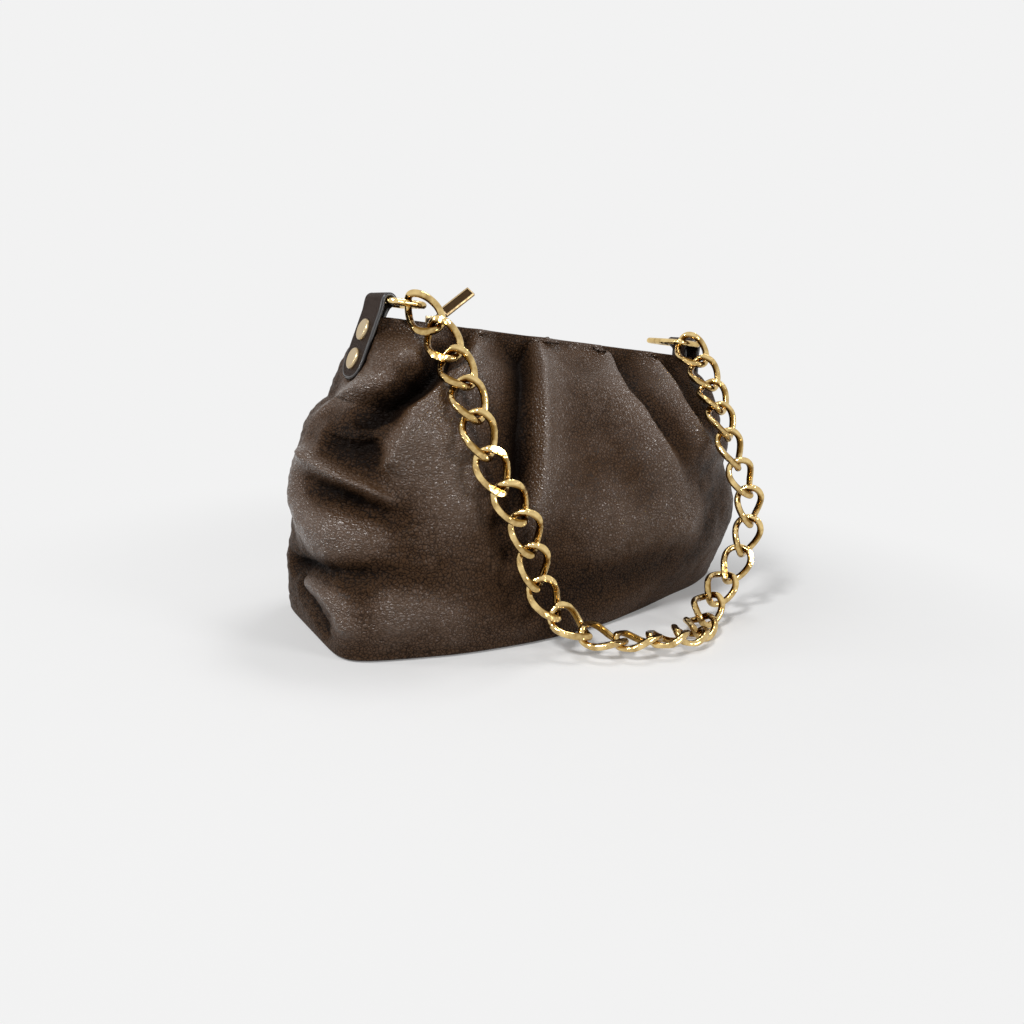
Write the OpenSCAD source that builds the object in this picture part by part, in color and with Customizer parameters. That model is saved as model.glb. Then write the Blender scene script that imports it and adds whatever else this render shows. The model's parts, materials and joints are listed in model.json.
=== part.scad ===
// A soft leather shoulder bag with a pleated front, a zipped mouth and a short curb chain strap.
// The origin is the middle of the base's underside; +X runs along the bag to its slouched right
// end, -Y is the front that the chain hangs over, +Z is up. All lengths are millimetres.

/* [Body] */
// Height of the mouth's edge above the floor, at the middle of the mouth
body_h = 156; // [145:1:170]
// Reach of the base from the middle to its boxed left corner
base_left = 143; // [132:1:150]
// Reach of the base from the middle to its rounded right end
base_right = 147; // [136:1:154]
// Half depth of the base, front to back
base_half_depth = 51; // [46:1:54]
// Reach of the left end at its widest
bulge_left = 146; // [142:1:152]
// Reach of the slouched right end at its widest
bulge_right = 152; // [147:1:158]
// Reach of the slouched front at its fullest
bulge_front = 66; // [60:1:67]
// Reach of the back at its fullest
bulge_back = 58; // [52:1:64]
// Half length of the mouth, seam to seam
mouth_half_len = 104.5; // [102:0.5:106]
// Half depth of the mouth, zip closed
mouth_half_depth = 9; // [8:0.5:10]
// Sideways shift of the mouth's middle
mouth_shift = 1.5; // [0:0.5:6]
// Slope of the mouth down to the slouched right end
mouth_tilt = 4.2; // [3:0.2:5]
// Thickness of the leather panels with their interlining
panel_t = 2; // [1.6:0.1:2.4]
// Thickness of the base leather
base_t = 2.4; // [2:0.1:3]
// Thickness of the stiffening board in the base
board_t = 2; // [1.5:0.1:2.5]
// Distance of the board's edge from the base's edge
board_inset = 9; // [7:0.5:12]
// Thickness of the textile lining
lining_t = 0.8; // [0.6:0.1:1]
// How far the lining stays inside the panels' outer face along the front and back
lining_inset = 3; // [2.8:0.1:4]
// How far the lining stays inside the two ends, behind the tabs' inner legs
lining_end_inset = 9; // [8.5:0.5:12]

/* [Pleats] */
// Height of a gathered pleat's ridge
pleat_h = 3.2; // [0:0.2:3.6]
// Width of a gathered pleat
pleat_w = 13; // [9:0.5:17]

/* [Tabs] */
// Width of the leather tab
tab_w = 24; // [21:0.5:24.5]
// Thickness of the tab's leather
tab_t = 2; // [1.6:0.1:2.2]
// Length of the tab's outer leg below the ring's bar
tab_leg = 43; // [40:0.5:46]
// Slope of the left tab's legs from the mouth, along the bag's left end
left_tab_angle = 16; // [12:0.5:18]
// Slope of the right tab's legs from the mouth, along the bag's right end
right_tab_angle = 7; // [5:0.5:12]
// Diameter of a rivet's cap
rivet_cap_d = 11.5; // [9:0.5:12]
// Height of a rivet's cap
rivet_cap_h = 1.6; // [1.2:0.1:2]
// Diameter of a rivet's post
rivet_post_d = 3; // [2.5:0.1:3.5]
// Distance from the ring's bar down to the first rivet
rivet_drop = 17; // [16:0.5:19]
// Distance between the two rivets of a tab
rivet_pitch = 15.5; // [14:0.5:17]

/* [Rings] */
// Wire diameter of a ring
ring_wire = 3.6; // [3:0.1:4]
// Distance from the tab's edge to the middle of a ring's leg
ring_side = 2.5; // [2.4:0.1:3.5]
// Length of a ring, from the tab's bar to its far bar
ring_len = 18; // [17:0.5:19]
// Bend radius of a ring's corners, to the wire's middle
ring_corner_r = 3; // [2.5:0.25:3.25]

/* [Chain] */
// Distance from one link to the next
link_pitch = 18.6; // [18.2:0.1:19]
// Wire diameter of a link
link_wire = 3.8; // [3.4:0.1:4]
// Width of a link over its wires
link_w = 19.6; // [18.4:0.1:20.4]
// Play between two hooked links
link_play = 0.5; // [0.4:0.05:0.7]
// Twist of a link from its middle to its end
link_twist_angle = 42; // [40:1:46]
// Height of the ground flats of a link, over both faces
link_flat = 7.2; // [6.8:0.1:7.8]

/* [Zip] */
// Distance from the mouth's end to the zip's end stop
zip_end = 22.5; // [21.5:0.5:26]
// Depth of the teeth below the ring's bar
zip_drop = 12.5; // [12:0.25:13.5]
// Pitch of the teeth along one side
tooth_pitch = 3.2; // [3:0.1:3.6]
// Length of a tooth along the zip
tooth_len = 1.5; // [1.2:0.1:1.8]
// Height of a tooth
tooth_h = 2.6; // [2.2:0.1:2.8]
// Reach of a tooth from its tape to the slit
tooth_reach = 2; // [1.6:0.1:2.2]
// Width of the slit between the two rows of teeth
slit_w = 1.4; // [1.2:0.1:1.6]
// Thickness of the tapes
tape_t = 0.7; // [0.6:0.05:0.8]
// Length of the slider
slider_len = 12; // [11:0.5:13]
// Width of the slider
slider_w = 8.6; // [8:0.2:9]
// Thickness of the slider's plates
slider_plate = 1.1; // [1:0.05:1.3]
// Length of the puller's brass bar
pull_len = 21; // [18:0.5:22]
// Width of the puller's brass bar
pull_w = 6; // [5:0.25:6.5]
// Thickness of the puller's brass bar
pull_t = 2.4; // [2:0.1:2.6]
// Rise of the puller above the zip as it lies
pull_rise = 41; // [30:1:45]

/* [Hidden] */
$fn = 48;

// Gap that keeps neighbouring pieces apart
gap = 0.3;
// Overrun of every cut
over = 1;
leather = [0.23, 0.19, 0.17];
leather_dark = [0.14, 0.11, 0.1];
textile = [0.2, 0.17, 0.15];
gold = [0.86, 0.72, 0.42];
old_brass = [0.55, 0.43, 0.26];

// Mouth frame: the ring bars lie in its XY plane, sloping down to the slouched right end
ring_rise = 9;
ring_bar_x = mouth_half_len + 4 * gap;
ring_axis_h = body_h + ring_rise;
ring_span = tab_w + 2 * ring_side;
ring_leg_y = ring_span / 2;

module in_mouth() {
    translate([mouth_shift, 0, ring_axis_h])
        rotate([0, mouth_tilt, 0])
            children();
}

// What is modelled at the mouth's left end, in place or mirrored to the right end
module left_end() {
    in_mouth() children();
}

module right_end() {
    in_mouth() mirror([1, 0, 0]) children();
}

// A smooth curve through a table of [position, value] pairs, level where the values turn
function seg_of(t, tab, i = 0) = i >= len(tab) - 2 || t < tab[i + 1][0] ? i : seg_of(t, tab, i + 1);
function slope_at(tab, i) =
    let (a = max(i - 1, 0), b = min(i + 1, len(tab) - 1), inside = i > 0 && i < len(tab) - 1)
    inside && (tab[i][1] - tab[a][1]) * (tab[b][1] - tab[i][1]) <= 0 ? 0
    : (tab[b][1] - tab[a][1]) / (tab[b][0] - tab[a][0]);
function hermite(tab, i, t) =
    let (d = tab[i + 1][0] - tab[i][0], h = (t - tab[i][0]) / d, h2 = h * h, h3 = h2 * h)
    (2 * h3 - 3 * h2 + 1) * tab[i][1] + (h3 - 2 * h2 + h) * d * slope_at(tab, i)
    + (3 * h2 - 2 * h3) * tab[i + 1][1] + (h3 - h2) * d * slope_at(tab, i + 1);
function curve(t, tab) = hermite(tab, seg_of(t, tab), t);

// The bag's end leather runs between the legs of a tab, so each end follows the line of the legs
// from the mouth down to just below the tab. end is -1 at the left and 1 at the right.
tab_foot_share = 0.74;
function end_slope(end) = (end < 0 ? left_tab_angle : right_tab_angle) - end * mouth_tilt;
function end_height(end, v) = base_t + v * (body_h - base_t - end * mouth_half_len * tan(mouth_tilt));
function end_line(end, v) =
    end * mouth_shift + ring_bar_x * cos(mouth_tilt) + panel_t / 2 / cos(end_slope(end))
    + (ring_axis_h - end * ring_bar_x * sin(mouth_tilt) - end_height(end, v)) * tan(end_slope(end));

// Outline of the soft body by height: 0 is the base, 1 the mouth, with an upright lip below it.
// Each row mixes three reaches, as [height share, base share, bulge share, mouth share].
lip_share = 0.955;
left_shares = [[0, 1, 0, 0], [0.12, 0.4, 0.6, 0], [0.25, 0, 1, 0], [0.44, 0, 1, 0],
               [0.52, 0, 0.93, 0.07], [0.59, 0, 0.8, 0.2], [0.66, 0, 0.62, 0.38],
               [0.7, 0, 0.36, 0.64], [tab_foot_share, 0, 0, 1]];
right_shares = [[0, 1, 0, 0], [0.14, 0.5, 0.5, 0], [0.28, 0, 1, 0], [0.36, 0, 0.97, 0.03],
                [0.46, 0, 0.83, 0.17], [0.56, 0, 0.62, 0.38], [0.65, 0, 0.37, 0.63],
                [0.7, 0, 0.14, 0.86], [tab_foot_share, 0, 0, 1]];
depth_shares = [[0, 1, 0, 0], [0.15, 0.4, 0.6, 0], [0.32, 0, 1, 0], [0.5, 0, 0.98, 0.02],
                [0.64, 0, 0.88, 0.12], [0.77, 0, 0.69, 0.31], [0.88, 0, 0.38, 0.62],
                [lip_share, 0, 0, 1], [1, 0, 0, 1]];
function mixed(rows, base, bulge, mouth) =
    [for (r = rows) [r[0], r[1] * base + r[2] * bulge + r[3] * mouth]];
left_reach = mixed(left_shares, base_left, bulge_left, end_line(-1, tab_foot_share));
right_reach = mixed(right_shares, base_right, bulge_right, end_line(1, tab_foot_share));
front_reach = mixed(depth_shares, base_half_depth, bulge_front, mouth_half_depth);
back_reach = mixed(depth_shares, base_half_depth, bulge_back, mouth_half_depth);
function end_reach(end, v) =
    v >= tab_foot_share ? end_line(end, v) : curve(v, end < 0 ? left_reach : right_reach);

// Squareness of the outline by height: the base's left corners are boxed, and so is the mouth
left_square = [[0, 8], [0.2, 5], [0.45, 3.2], [0.6, 3.4], [tab_foot_share, 6], [0.88, 12],
               [lip_share, 22], [1, 24]];
right_square = [[0, 2.1], [0.45, 2.1], [0.6, 2.6], [tab_foot_share, 6], [0.88, 12],
                [lip_share, 22], [1, 24]];

// Ridges of the gathered front, as [side share at the mouth, side share at the base, strength share]
pleat_shares = [[-0.36, -0.52, 0.8], [-0.02, -0.04, 1], [0.3, 0.62, 0.9], [0.5, 0.86, 0.7]];
// Strength of the pleats by height
pleat_fade = [[0, 0], [0.2, 0.35], [0.5, 1], [0.85, 1], [1, 0.4]];
function pleat_middle(p, x, v) = end_reach(x < 0 ? -1 : 1, v) * (p[1] + (p[0] - p[1]) * v);
function pleat_relief(x, v) =
    pleat_h * curve(v, pleat_fade)
    * max([for (p = pleat_shares) p[2] * exp(-pow(2 * (x - pleat_middle(p, x, v)) / pleat_w, 2))]);

// A point of the body: side is 1 on the front and -1 on the back, s runs from -1 at the left seam
// to 1 at the right seam, v from the base to the mouth, inset is measured in from the outer face
function body_point(side, s, v, inset, end_inset, relief) =
    let (end = s < 0 ? -1 : 1,
         n = curve(v, end < 0 ? left_square : right_square),
         sn = abs(s) == 1 ? 1 : abs(sin(90 * s)),
         across = pow(1 - pow(sn, n), 1 / n),
         x = end * (end_reach(end, v) - end_inset) * sn,
         bump = side > 0 ? relief * pleat_relief(x, v) * across : 0,
         y = -side * ((curve(v, side > 0 ? front_reach : back_reach) - inset) * across + bump),
         lean = min(mouth_half_len, max(-mouth_half_len, x - mouth_shift)) * tan(mouth_tilt))
    [x, y, base_t + v * (body_h - base_t - lean)];

// Closed shell between two grids of points, both rows by columns
function quads(a, b, c, d, flip) = flip ? [[a, b, c], [a, c, d]] : [[a, c, b], [a, d, c]];
module shell(outer, inner, flip) {
    nv = len(outer);
    nu = len(outer[0]);
    n = nv * nu;
    pts = concat([for (r = outer) each r], [for (r = inner) each r]);
    function at(i, j) = i * nu + j;
    skin = [for (i = [0:nv - 2], j = [0:nu - 2])
            each quads(at(i, j), at(i, j + 1), at(i + 1, j + 1), at(i + 1, j), flip)];
    back = [for (i = [0:nv - 2], j = [0:nu - 2])
            each quads(n + at(i, j), n + at(i, j + 1), n + at(i + 1, j + 1), n + at(i + 1, j), !flip)];
    low = [for (j = [0:nu - 2]) each quads(at(0, j), n + at(0, j), n + at(0, j + 1), at(0, j + 1), flip)];
    high = [for (j = [0:nu - 2])
            each quads(at(nv - 1, j), n + at(nv - 1, j), n + at(nv - 1, j + 1), at(nv - 1, j + 1), !flip)];
    near = [for (i = [0:nv - 2]) each quads(at(i, 0), n + at(i, 0), n + at(i + 1, 0), at(i + 1, 0), !flip)];
    far = [for (i = [0:nv - 2])
           each quads(at(i, nu - 1), n + at(i, nu - 1), n + at(i + 1, nu - 1), at(i + 1, nu - 1), flip)];
    polyhedron(points = pts, faces = concat(skin, back, low, high, near, far), convexity = 10);
}

// Heights and places along the panels where their grids have points: closer at the lip and seams
row_share = [0, 0.08, 0.16, 0.24, 0.32, 0.4, 0.48, 0.56, 0.64, 0.7, tab_foot_share, 0.79, 0.84, 0.88,
             0.92, lip_share, 1];
seam_share = [0.965, 0.988, 1];
field_share = 0.93;
function columns(n) =
    concat([for (i = [len(seam_share) - 1:-1:0]) -seam_share[i]],
           [for (j = [0:n]) field_share * (2 * j / n - 1)], seam_share);

function body_grid(side, n, inset, relief) =
    [for (v = row_share) [for (s = columns(n)) body_point(side, s, v, inset, inset, relief)]];

module panel(side, n) {
    difference() {
        shell(body_grid(side, n, 0, 1), body_grid(side, n, panel_t, 1), side < 0);
        in_mouth() {
            tab_frame(left_tab_angle) rivet_holes();
            mirror([1, 0, 0]) tab_frame(right_tab_angle) rivet_holes();
        }
    }
}

module front_panel() {
    color(leather) panel(1, 30);
}

module back_panel() {
    color(leather) panel(-1, 20);
}

module base_outline(edge) {
    n = 24;
    right = [for (i = [0:n]) body_point(1, i / n, 0, edge, edge, 0)];
    left = [for (i = [1:n]) body_point(1, -i / n, 0, edge, edge, 0)];
    front = concat([for (i = [n:-1:1]) right[i]], [right[0]], left);
    back = [for (i = [len(front) - 2:-1:1]) [front[i][0], -front[i][1]]];
    polygon(concat([for (p = front) [p[0], p[1]]], back));
}

module base_panel() {
    color(leather_dark) linear_extrude(base_t) base_outline(0);
}

module base_board() {
    color(leather_dark) translate([0, 0, base_t]) linear_extrude(board_t) base_outline(board_inset);
}

// The lining is one tub: front and back halves of the same grid, closed at the bottom
lining_foot = base_t + board_t + gap;
lining_top = body_h + ring_rise - zip_drop - tape_t / 2 - gap;
function body_share(z) = (z - base_t) / (body_h - base_t);
function lining_loop(v, deep) =
    let (n = 16, ins = lining_inset + deep, eins = lining_end_inset + deep)
    concat([for (j = [0:n - 1]) body_point(1, 2 * j / n - 1, v, ins, eins, 0)],
           [for (j = [n:-1:1]) body_point(-1, 2 * j / n - 1, v, ins, eins, 0)]);
module lining() {
    low = body_share(lining_foot);
    high = body_share(lining_top);
    vs = concat([low], [for (v = row_share) if (v > low && v < high) v], [high]);
    rows = len(vs) - 1;
    outer = [for (v = vs) lining_loop(v, 0)];
    inner = [for (i = [0:rows])
             [for (p = lining_loop(vs[i], lining_t)) [p[0], p[1], p[2] + (i == 0 ? lining_t : 0)]]];
    m = len(outer[0]);
    n = (rows + 1) * m;
    function at(i, j) = i * m + (j % m);
    out_skin = [for (i = [0:rows - 1], j = [0:m - 1])
                each quads(at(i, j), at(i, j + 1), at(i + 1, j + 1), at(i + 1, j), false)];
    in_skin = [for (i = [0:rows - 1], j = [0:m - 1])
               each quads(n + at(i, j), n + at(i, j + 1), n + at(i + 1, j + 1), n + at(i + 1, j), true)];
    rim = [for (j = [0:m - 1])
           each quads(at(rows, j), at(rows, j + 1), n + at(rows, j + 1), n + at(rows, j), false)];
    floor_low = [[for (j = [0:m - 1]) j]];
    floor_high = [[for (j = [m - 1:-1:0]) n + j]];
    color(textile)
        polyhedron(points = concat([for (r = outer) each r], [for (r = inner) each r]),
                   faces = concat(out_skin, in_skin, rim, floor_low, floor_high), convexity = 10);
}

// Zip, in the mouth frame: a facing, a tape and a row of teeth on each side of the slit
zip_len = 2 * (mouth_half_len - zip_end);
zip_z = -zip_drop;
facing_t = 1.2;
stop_len = 4;
facing_half_len = mouth_half_len - lining_end_inset - stop_len;
tape_in = slit_w / 2 + tooth_reach;
tape_out = mouth_half_depth - panel_t - gap;
facing_in = slider_w / 2 + gap + tape_t;
facing_z = zip_z + tape_t / 2;

module strip(half_len, in, out, z, t) {
    translate([-half_len, in, z]) cube([2 * half_len, out - in, t]);
}

module on_side(side) {
    in_mouth() mirror([0, side < 0 ? 1 : 0, 0]) children();
}

module zip_facing(side) {
    on_side(side) color(leather) strip(facing_half_len, facing_in, tape_out, facing_z, facing_t);
}

module zip_tape(side) {
    on_side(side) color(textile) strip(facing_half_len, tape_in, tape_out, zip_z - tape_t / 2, tape_t);
}

// A tooth grips the tape's edge with two jaws
jaw_reach = 1.1;
module tooth() {
    half = tooth_h / 2;
    slot = tape_t / 2;
    rotate([90, 0, 90])
        linear_extrude(tooth_len)
            polygon([[slit_w / 2, half], [slit_w / 2, -half], [tape_in + jaw_reach, -half],
                     [tape_in + jaw_reach, -slot], [tape_in, -slot], [tape_in, slot],
                     [tape_in + jaw_reach, slot], [tape_in + jaw_reach, half]]);
}

tooth_count = floor((zip_len - tooth_len) / tooth_pitch);
module zip_teeth(side, shift) {
    in_mouth()
        color(old_brass)
            for (i = [0:tooth_count - 1])
                translate([-zip_len / 2 + shift + i * tooth_pitch, 0, zip_z])
                    mirror([0, side < 0 ? 1 : 0, 0])
                        tooth();
}

// End stops close the slit past the last teeth
stop_h = tooth_h + 2 * slider_plate;
module zip_stops() {
    in_mouth()
        color(old_brass)
            for (end = [-1, 1])
                translate([end * (zip_len / 2 + gap + stop_len / 2), 0, zip_z])
                    difference() {
                        cube([stop_len, 2 * (tape_in + jaw_reach), stop_h], center = true);
                        for (side = [-1, 1])
                            translate([0, side * (tape_in + jaw_reach), 0])
                                cube([stop_len + over, 2 * jaw_reach, tape_t], center = true);
                    }
}

// The slider's plates run over and under the teeth, joined by a web in the slit
slider_x = -zip_len / 2 + slider_len / 2 + gap;
plate_z = tooth_h / 2 + gap;
web_t = slit_w - 2 * gap;
lug_t = 1.2;
lug_len = 5;
pull_pin_d = 1.6;
neck_t = 1.4;
neck_eye_d = pull_pin_d + 2 * gap;
lug_h = neck_eye_d + 2 * neck_t + 2 * gap;
pull_pivot_z = zip_z + plate_z + slider_plate + lug_h / 2;
pull_pivot_x = slider_x;
module zip_slider() {
    in_mouth()
        color(old_brass)
            translate([slider_x, 0, zip_z]) {
                for (s = [-1, 1])
                    translate([0, 0, s * (plate_z + slider_plate / 2)])
                        intersection() {
                            cube([slider_len, slider_w, slider_plate], center = true);
                            cylinder(h = slider_plate + over, d = slider_len, center = true);
                        }
                cube([slider_len / 2, web_t, 2 * plate_z + slider_plate], center = true);
                for (s = [-1, 1])
                    translate([0, s * (slider_w / 2 - lug_t), plate_z + slider_plate / 2 + lug_h / 2])
                        cube([lug_len, lug_t, lug_h + slider_plate], center = true);
                translate([0, 0, pull_pivot_z - zip_z])
                    rotate([90, 0, 0])
                        cylinder(h = slider_w - 2 * lug_t, d = pull_pin_d, center = true);
            }
}

// The neck loops round the slider's pin and grips the end of the brass bar
neck_w = 3.6;
neck_len = 9;
bar_start = neck_len - neck_t;
module in_pull() {
    in_mouth()
        translate([pull_pivot_x, 0, pull_pivot_z])
            rotate([0, -pull_rise, 0])
                children();
}

module zip_pull_neck() {
    in_pull()
        color(leather_dark)
            rotate([90, 0, 0])
                linear_extrude(neck_w, center = true)
                    difference() {
                        union() {
                            circle(d = neck_eye_d + 2 * neck_t);
                            translate([0, -neck_t / 2]) square([bar_start, neck_t]);
                        }
                        circle(d = neck_eye_d);
                    }
}

bevel = 0.7;
module zip_pull_bar() {
    in_pull()
        color(old_brass)
            rotate([90, 0, 90])
                translate([0, 0, bar_start])
                    linear_extrude(pull_len)
                        polygon([[-pull_w / 2 + bevel, -pull_t / 2], [pull_w / 2 - bevel, -pull_t / 2],
                                 [pull_w / 2, -pull_t / 2 + bevel], [pull_w / 2, pull_t / 2 - bevel],
                                 [pull_w / 2 - bevel, pull_t / 2], [-pull_w / 2 + bevel, pull_t / 2],
                                 [-pull_w / 2, pull_t / 2 - bevel], [-pull_w / 2, -pull_t / 2 + bevel]]);
}

// Tab frame, in the mouth frame at the left end: origin on the ring's bar, Z up along the legs,
// X across them towards the mouth. The bag's end leather runs between the two legs.
leg_gap = panel_t + 3 * gap;
fold_r = ring_wire / 2 + gap;
module tab_frame(slope) {
    translate([-ring_bar_x, 0, 0])
        rotate([0, slope, 0])
            children();
}

// The inner leg is shorter and narrow enough to pass between the mouth's two lips
inner_leg = tab_leg - rivet_post_d;
inner_leg_w = 2 * (mouth_half_depth - panel_t - 3 * gap);
module leg(length, width) {
    translate([leg_gap / 2, -width / 2, -length]) cube([tab_t, width, length]);
}

// Everything a rounded strip of this length and width covers, seen square to the legs
module strip_space(length, width) {
    reach = 2 * (fold_r + tab_t);
    rotate([0, 90, 0])
        linear_extrude(2 * reach, center = true)
            union() {
                translate([-reach, -width / 2]) square([reach + length - width / 2, width]);
                translate([length - width / 2, 0]) circle(d = width);
            }
}

module tab(slope) {
    tab_frame(slope)
        difference() {
            union() {
                rotate([90, 0, 0]) cylinder(h = tab_w, r = fold_r + tab_t, center = true);
                intersection() {
                    mirror([1, 0, 0]) leg(tab_leg, tab_w);
                    strip_space(tab_leg, tab_w);
                }
                intersection() {
                    leg(inner_leg, inner_leg_w);
                    strip_space(inner_leg, inner_leg_w);
                }
            }
            rotate([90, 0, 0]) cylinder(h = tab_w + over, r = fold_r, center = true);
            translate([-leg_gap / 2, -tab_w / 2 - over, -tab_leg])
                cube([leg_gap, tab_w + 2 * over, tab_leg]);
            rivet_holes();
        }
}

module rivet_holes() {
    for (i = [0, 1])
        translate([0, 0, -rivet_drop - i * rivet_pitch])
            rotate([0, 90, 0])
                cylinder(h = 3 * leg_gap + 2 * tab_t, d = rivet_post_d + gap, center = true);
}

module rivet_caps(slope) {
    outer_face = leg_gap / 2 + tab_t;
    dome = rivet_cap_h / 2;
    tab_frame(slope)
        for (i = [0, 1], s = [-1, 1])
            translate([s * outer_face, 0, -rivet_drop - i * rivet_pitch])
                rotate([0, s * 90, 0]) {
                    cylinder(h = rivet_cap_h - dome, d = rivet_cap_d);
                    translate([0, 0, rivet_cap_h - dome])
                        cylinder(h = dome, d1 = rivet_cap_d, d2 = rivet_cap_d - 2 * dome);
                }
}

module rivet_posts(slope) {
    tab_frame(slope)
        for (i = [0, 1])
            translate([0, 0, -rivet_drop - i * rivet_pitch])
                rotate([0, 90, 0])
                    cylinder(h = leg_gap + 2 * tab_t, d = rivet_post_d, center = true);
}

// A ring is a rounded rectangle of wire: its bar lies in the tab's fold, its legs run inwards
module ring_side(len) {
    rotate([0, 90, 0]) cylinder(h = len, d = ring_wire, center = true);
}

module ring_corner() {
    rotate_extrude(angle = 90) translate([ring_corner_r, 0]) circle(d = ring_wire);
}

module ring() {
    straight_x = ring_len - 2 * ring_corner_r;
    straight_y = ring_span - 2 * ring_corner_r;
    translate([-ring_bar_x + ring_len / 2, 0, 0])
        union() {
            for (s = [-1, 1]) {
                translate([0, s * ring_span / 2, 0]) ring_side(straight_x);
                translate([s * ring_len / 2, 0, 0]) rotate([0, 0, 90]) ring_side(straight_y);
            }
            for (sx = [0, 1], sy = [0, 1])
                mirror([sx, 0, 0])
                    mirror([0, sy, 0])
                        translate([straight_x / 2, straight_y / 2, 0]) ring_corner();
        }
}

// Chain: each strand of links starts on the front leg of a ring. Two links at the same place of
// the two strands drop alike, so they can turn together about the line of the ring legs.
// A link's drop share is its part of the way down to the floor: 1 in a strand that slopes evenly.
// On a taller bag the strands keep the slope at which they clear its full front, and end higher.
// The drape angles are measured in the mouth frame, downwards from the front; the lean shares are
// the sideways leans' sines, and the roll angles turn a link about its own length.
strand = 13;
links = 2 * strand + 1;
drop_share = [0.981, 1.054, 0.999, 1.155, 1.339, 1.439, 1.462, 1.465, 1.462, 1.386, 1.054, 0.33, -0.33];
steepest_share = 0.69;
strand_slope = min(steepest_share, ring_axis_h / (strand * link_pitch));
drape = [for (d = drop_share) asin(max(-1, min(1, strand_slope * d)))];
left_lean_share = [0.42, 0.21, 0.08, 0.07, 0.21, 0.51, 0.67, 0.4, 0.27, 0.54, 0.73, 0.85, 0.92];
right_lean_share = [0.11, -0.08, -0.2, -0.08, 0.25, 0.56, 0.23, -0.17, -0.55, -0.8, -0.74, -0.78, -0.94];
left_roll_angles = [62, 47, 31, 15, 4, 0, 0, 0, -3, -6, -6, 3, 6];
right_roll_angles = [45, 32, 18, 6, 0, 0, 6, 14, 22, 26, 18, 2, -12];
ring_hook_x = ring_bar_x - ring_len + ring_corner_r + link_wire / 2 + 5 * gap;
hook_setback = (ring_wire - link_play) / 2 + 2 * gap;

function sum(v, i = 0) = i >= len(v) ? 0 : v[i] + sum(v, i + 1);
function run(k) = k == 0 ? link_pitch - hook_setback : link_pitch;
// The leans are scaled so that the two strands end one pitch apart, where the middle link joins them
lean_total = sum([for (k = [0:strand - 1]) run(k) * (left_lean_share[k] - right_lean_share[k])]);
lean_scale = (2 * ring_hook_x - link_pitch) / lean_total;
function lean(k, right) =
    asin(max(-1, min(1, lean_scale * (right ? right_lean_share[k] : left_lean_share[k]))));

// Unit directions of a link: along it, across it and out of its flat face
function along(a, b) = [sin(b), -cos(b) * cos(a), -cos(b) * sin(a)];
function flat_of(a) = [0, -sin(a), cos(a)];
function rolled(f, r) = [f[0], cos(r) * f[1] + sin(r) * f[2], cos(r) * f[2] - sin(r) * f[1]];
function link_axes(a, b, r) =
    let (d = along(a, b), n = flat_of(a))
    rolled([d, cross(n, d), n], r);

function joint_at(k, right) =
    k == 0 ? [right ? ring_hook_x : -ring_hook_x, -ring_leg_y, 0]
    : joint_at(k - 1, right) + run(k - 1) * along(drape[k - 1], lean(k - 1, right));

// Closed centreline of a link's wire: an oval, twisted about the link's length
link_rings = 20;
wire_sides = 6;
oval_power = 2.3;
link_half = (link_pitch + link_wire + link_play) / 2;
side_half = (link_w - link_wire) / 2;
function oval_point(t) =
    let (c = cos(t), s = sin(t),
         x = link_half * sign(c) * pow(abs(c), 2 / oval_power),
         y = side_half * sign(s) * pow(abs(s), 2 / oval_power),
         tw = -link_twist_angle * x / link_half)
    [x, y * cos(tw), y * sin(tw)];
function unit(v) = v / norm(v);
function wire_ring(i) =
    let (step = 360 / link_rings, t = (i + 0.5) * step,
         p = oval_point(t), d = unit(oval_point(t + step / 4) - oval_point(t - step / 4)),
         out = unit([p[0] / link_half, p[1] / side_half, 0]),
         n = unit(cross(d, out)), m = cross(n, d))
    [for (j = [0:wire_sides - 1])
        let (a = 360 * (j + 0.5) / wire_sides, q = p + link_wire / 2 * (cos(a) * m + sin(a) * n))
        [q[0], q[1], min(link_flat / 2, max(-link_flat / 2, q[2]))]];

module link_solid(mid, axes) {
    local = [for (i = [0:link_rings - 1]) each wire_ring(i)];
    pts = [for (p = local) mid + p[0] * axes[0] + p[1] * axes[1] + p[2] * axes[2]];
    function at(i, j) = (i % link_rings) * wire_sides + (j % wire_sides);
    faces = [for (i = [0:link_rings - 1], j = [0:wire_sides - 1])
             each quads(at(i, j), at(i, j + 1), at(i + 1, j + 1), at(i + 1, j), false)];
    polyhedron(points = pts, faces = faces, convexity = 6);
}

module chain_link(i) {
    right = i > strand + 1;
    k = right ? links - i : i - 1;
    middle = i == strand + 1;
    a = middle ? drape[strand - 1] : drape[k];
    b = middle ? 90 : lean(k, right);
    set = middle || k > 0 ? 0 : hook_setback;
    start = middle ? joint_at(strand, false) : joint_at(k, right);
    axes = link_axes(a, b, middle ? 0 : right ? right_roll_angles[k] : left_roll_angles[k]);
    in_mouth()
        color(gold)
            link_solid(start + (link_pitch / 2 - set) * axes[0], axes);
}

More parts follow.
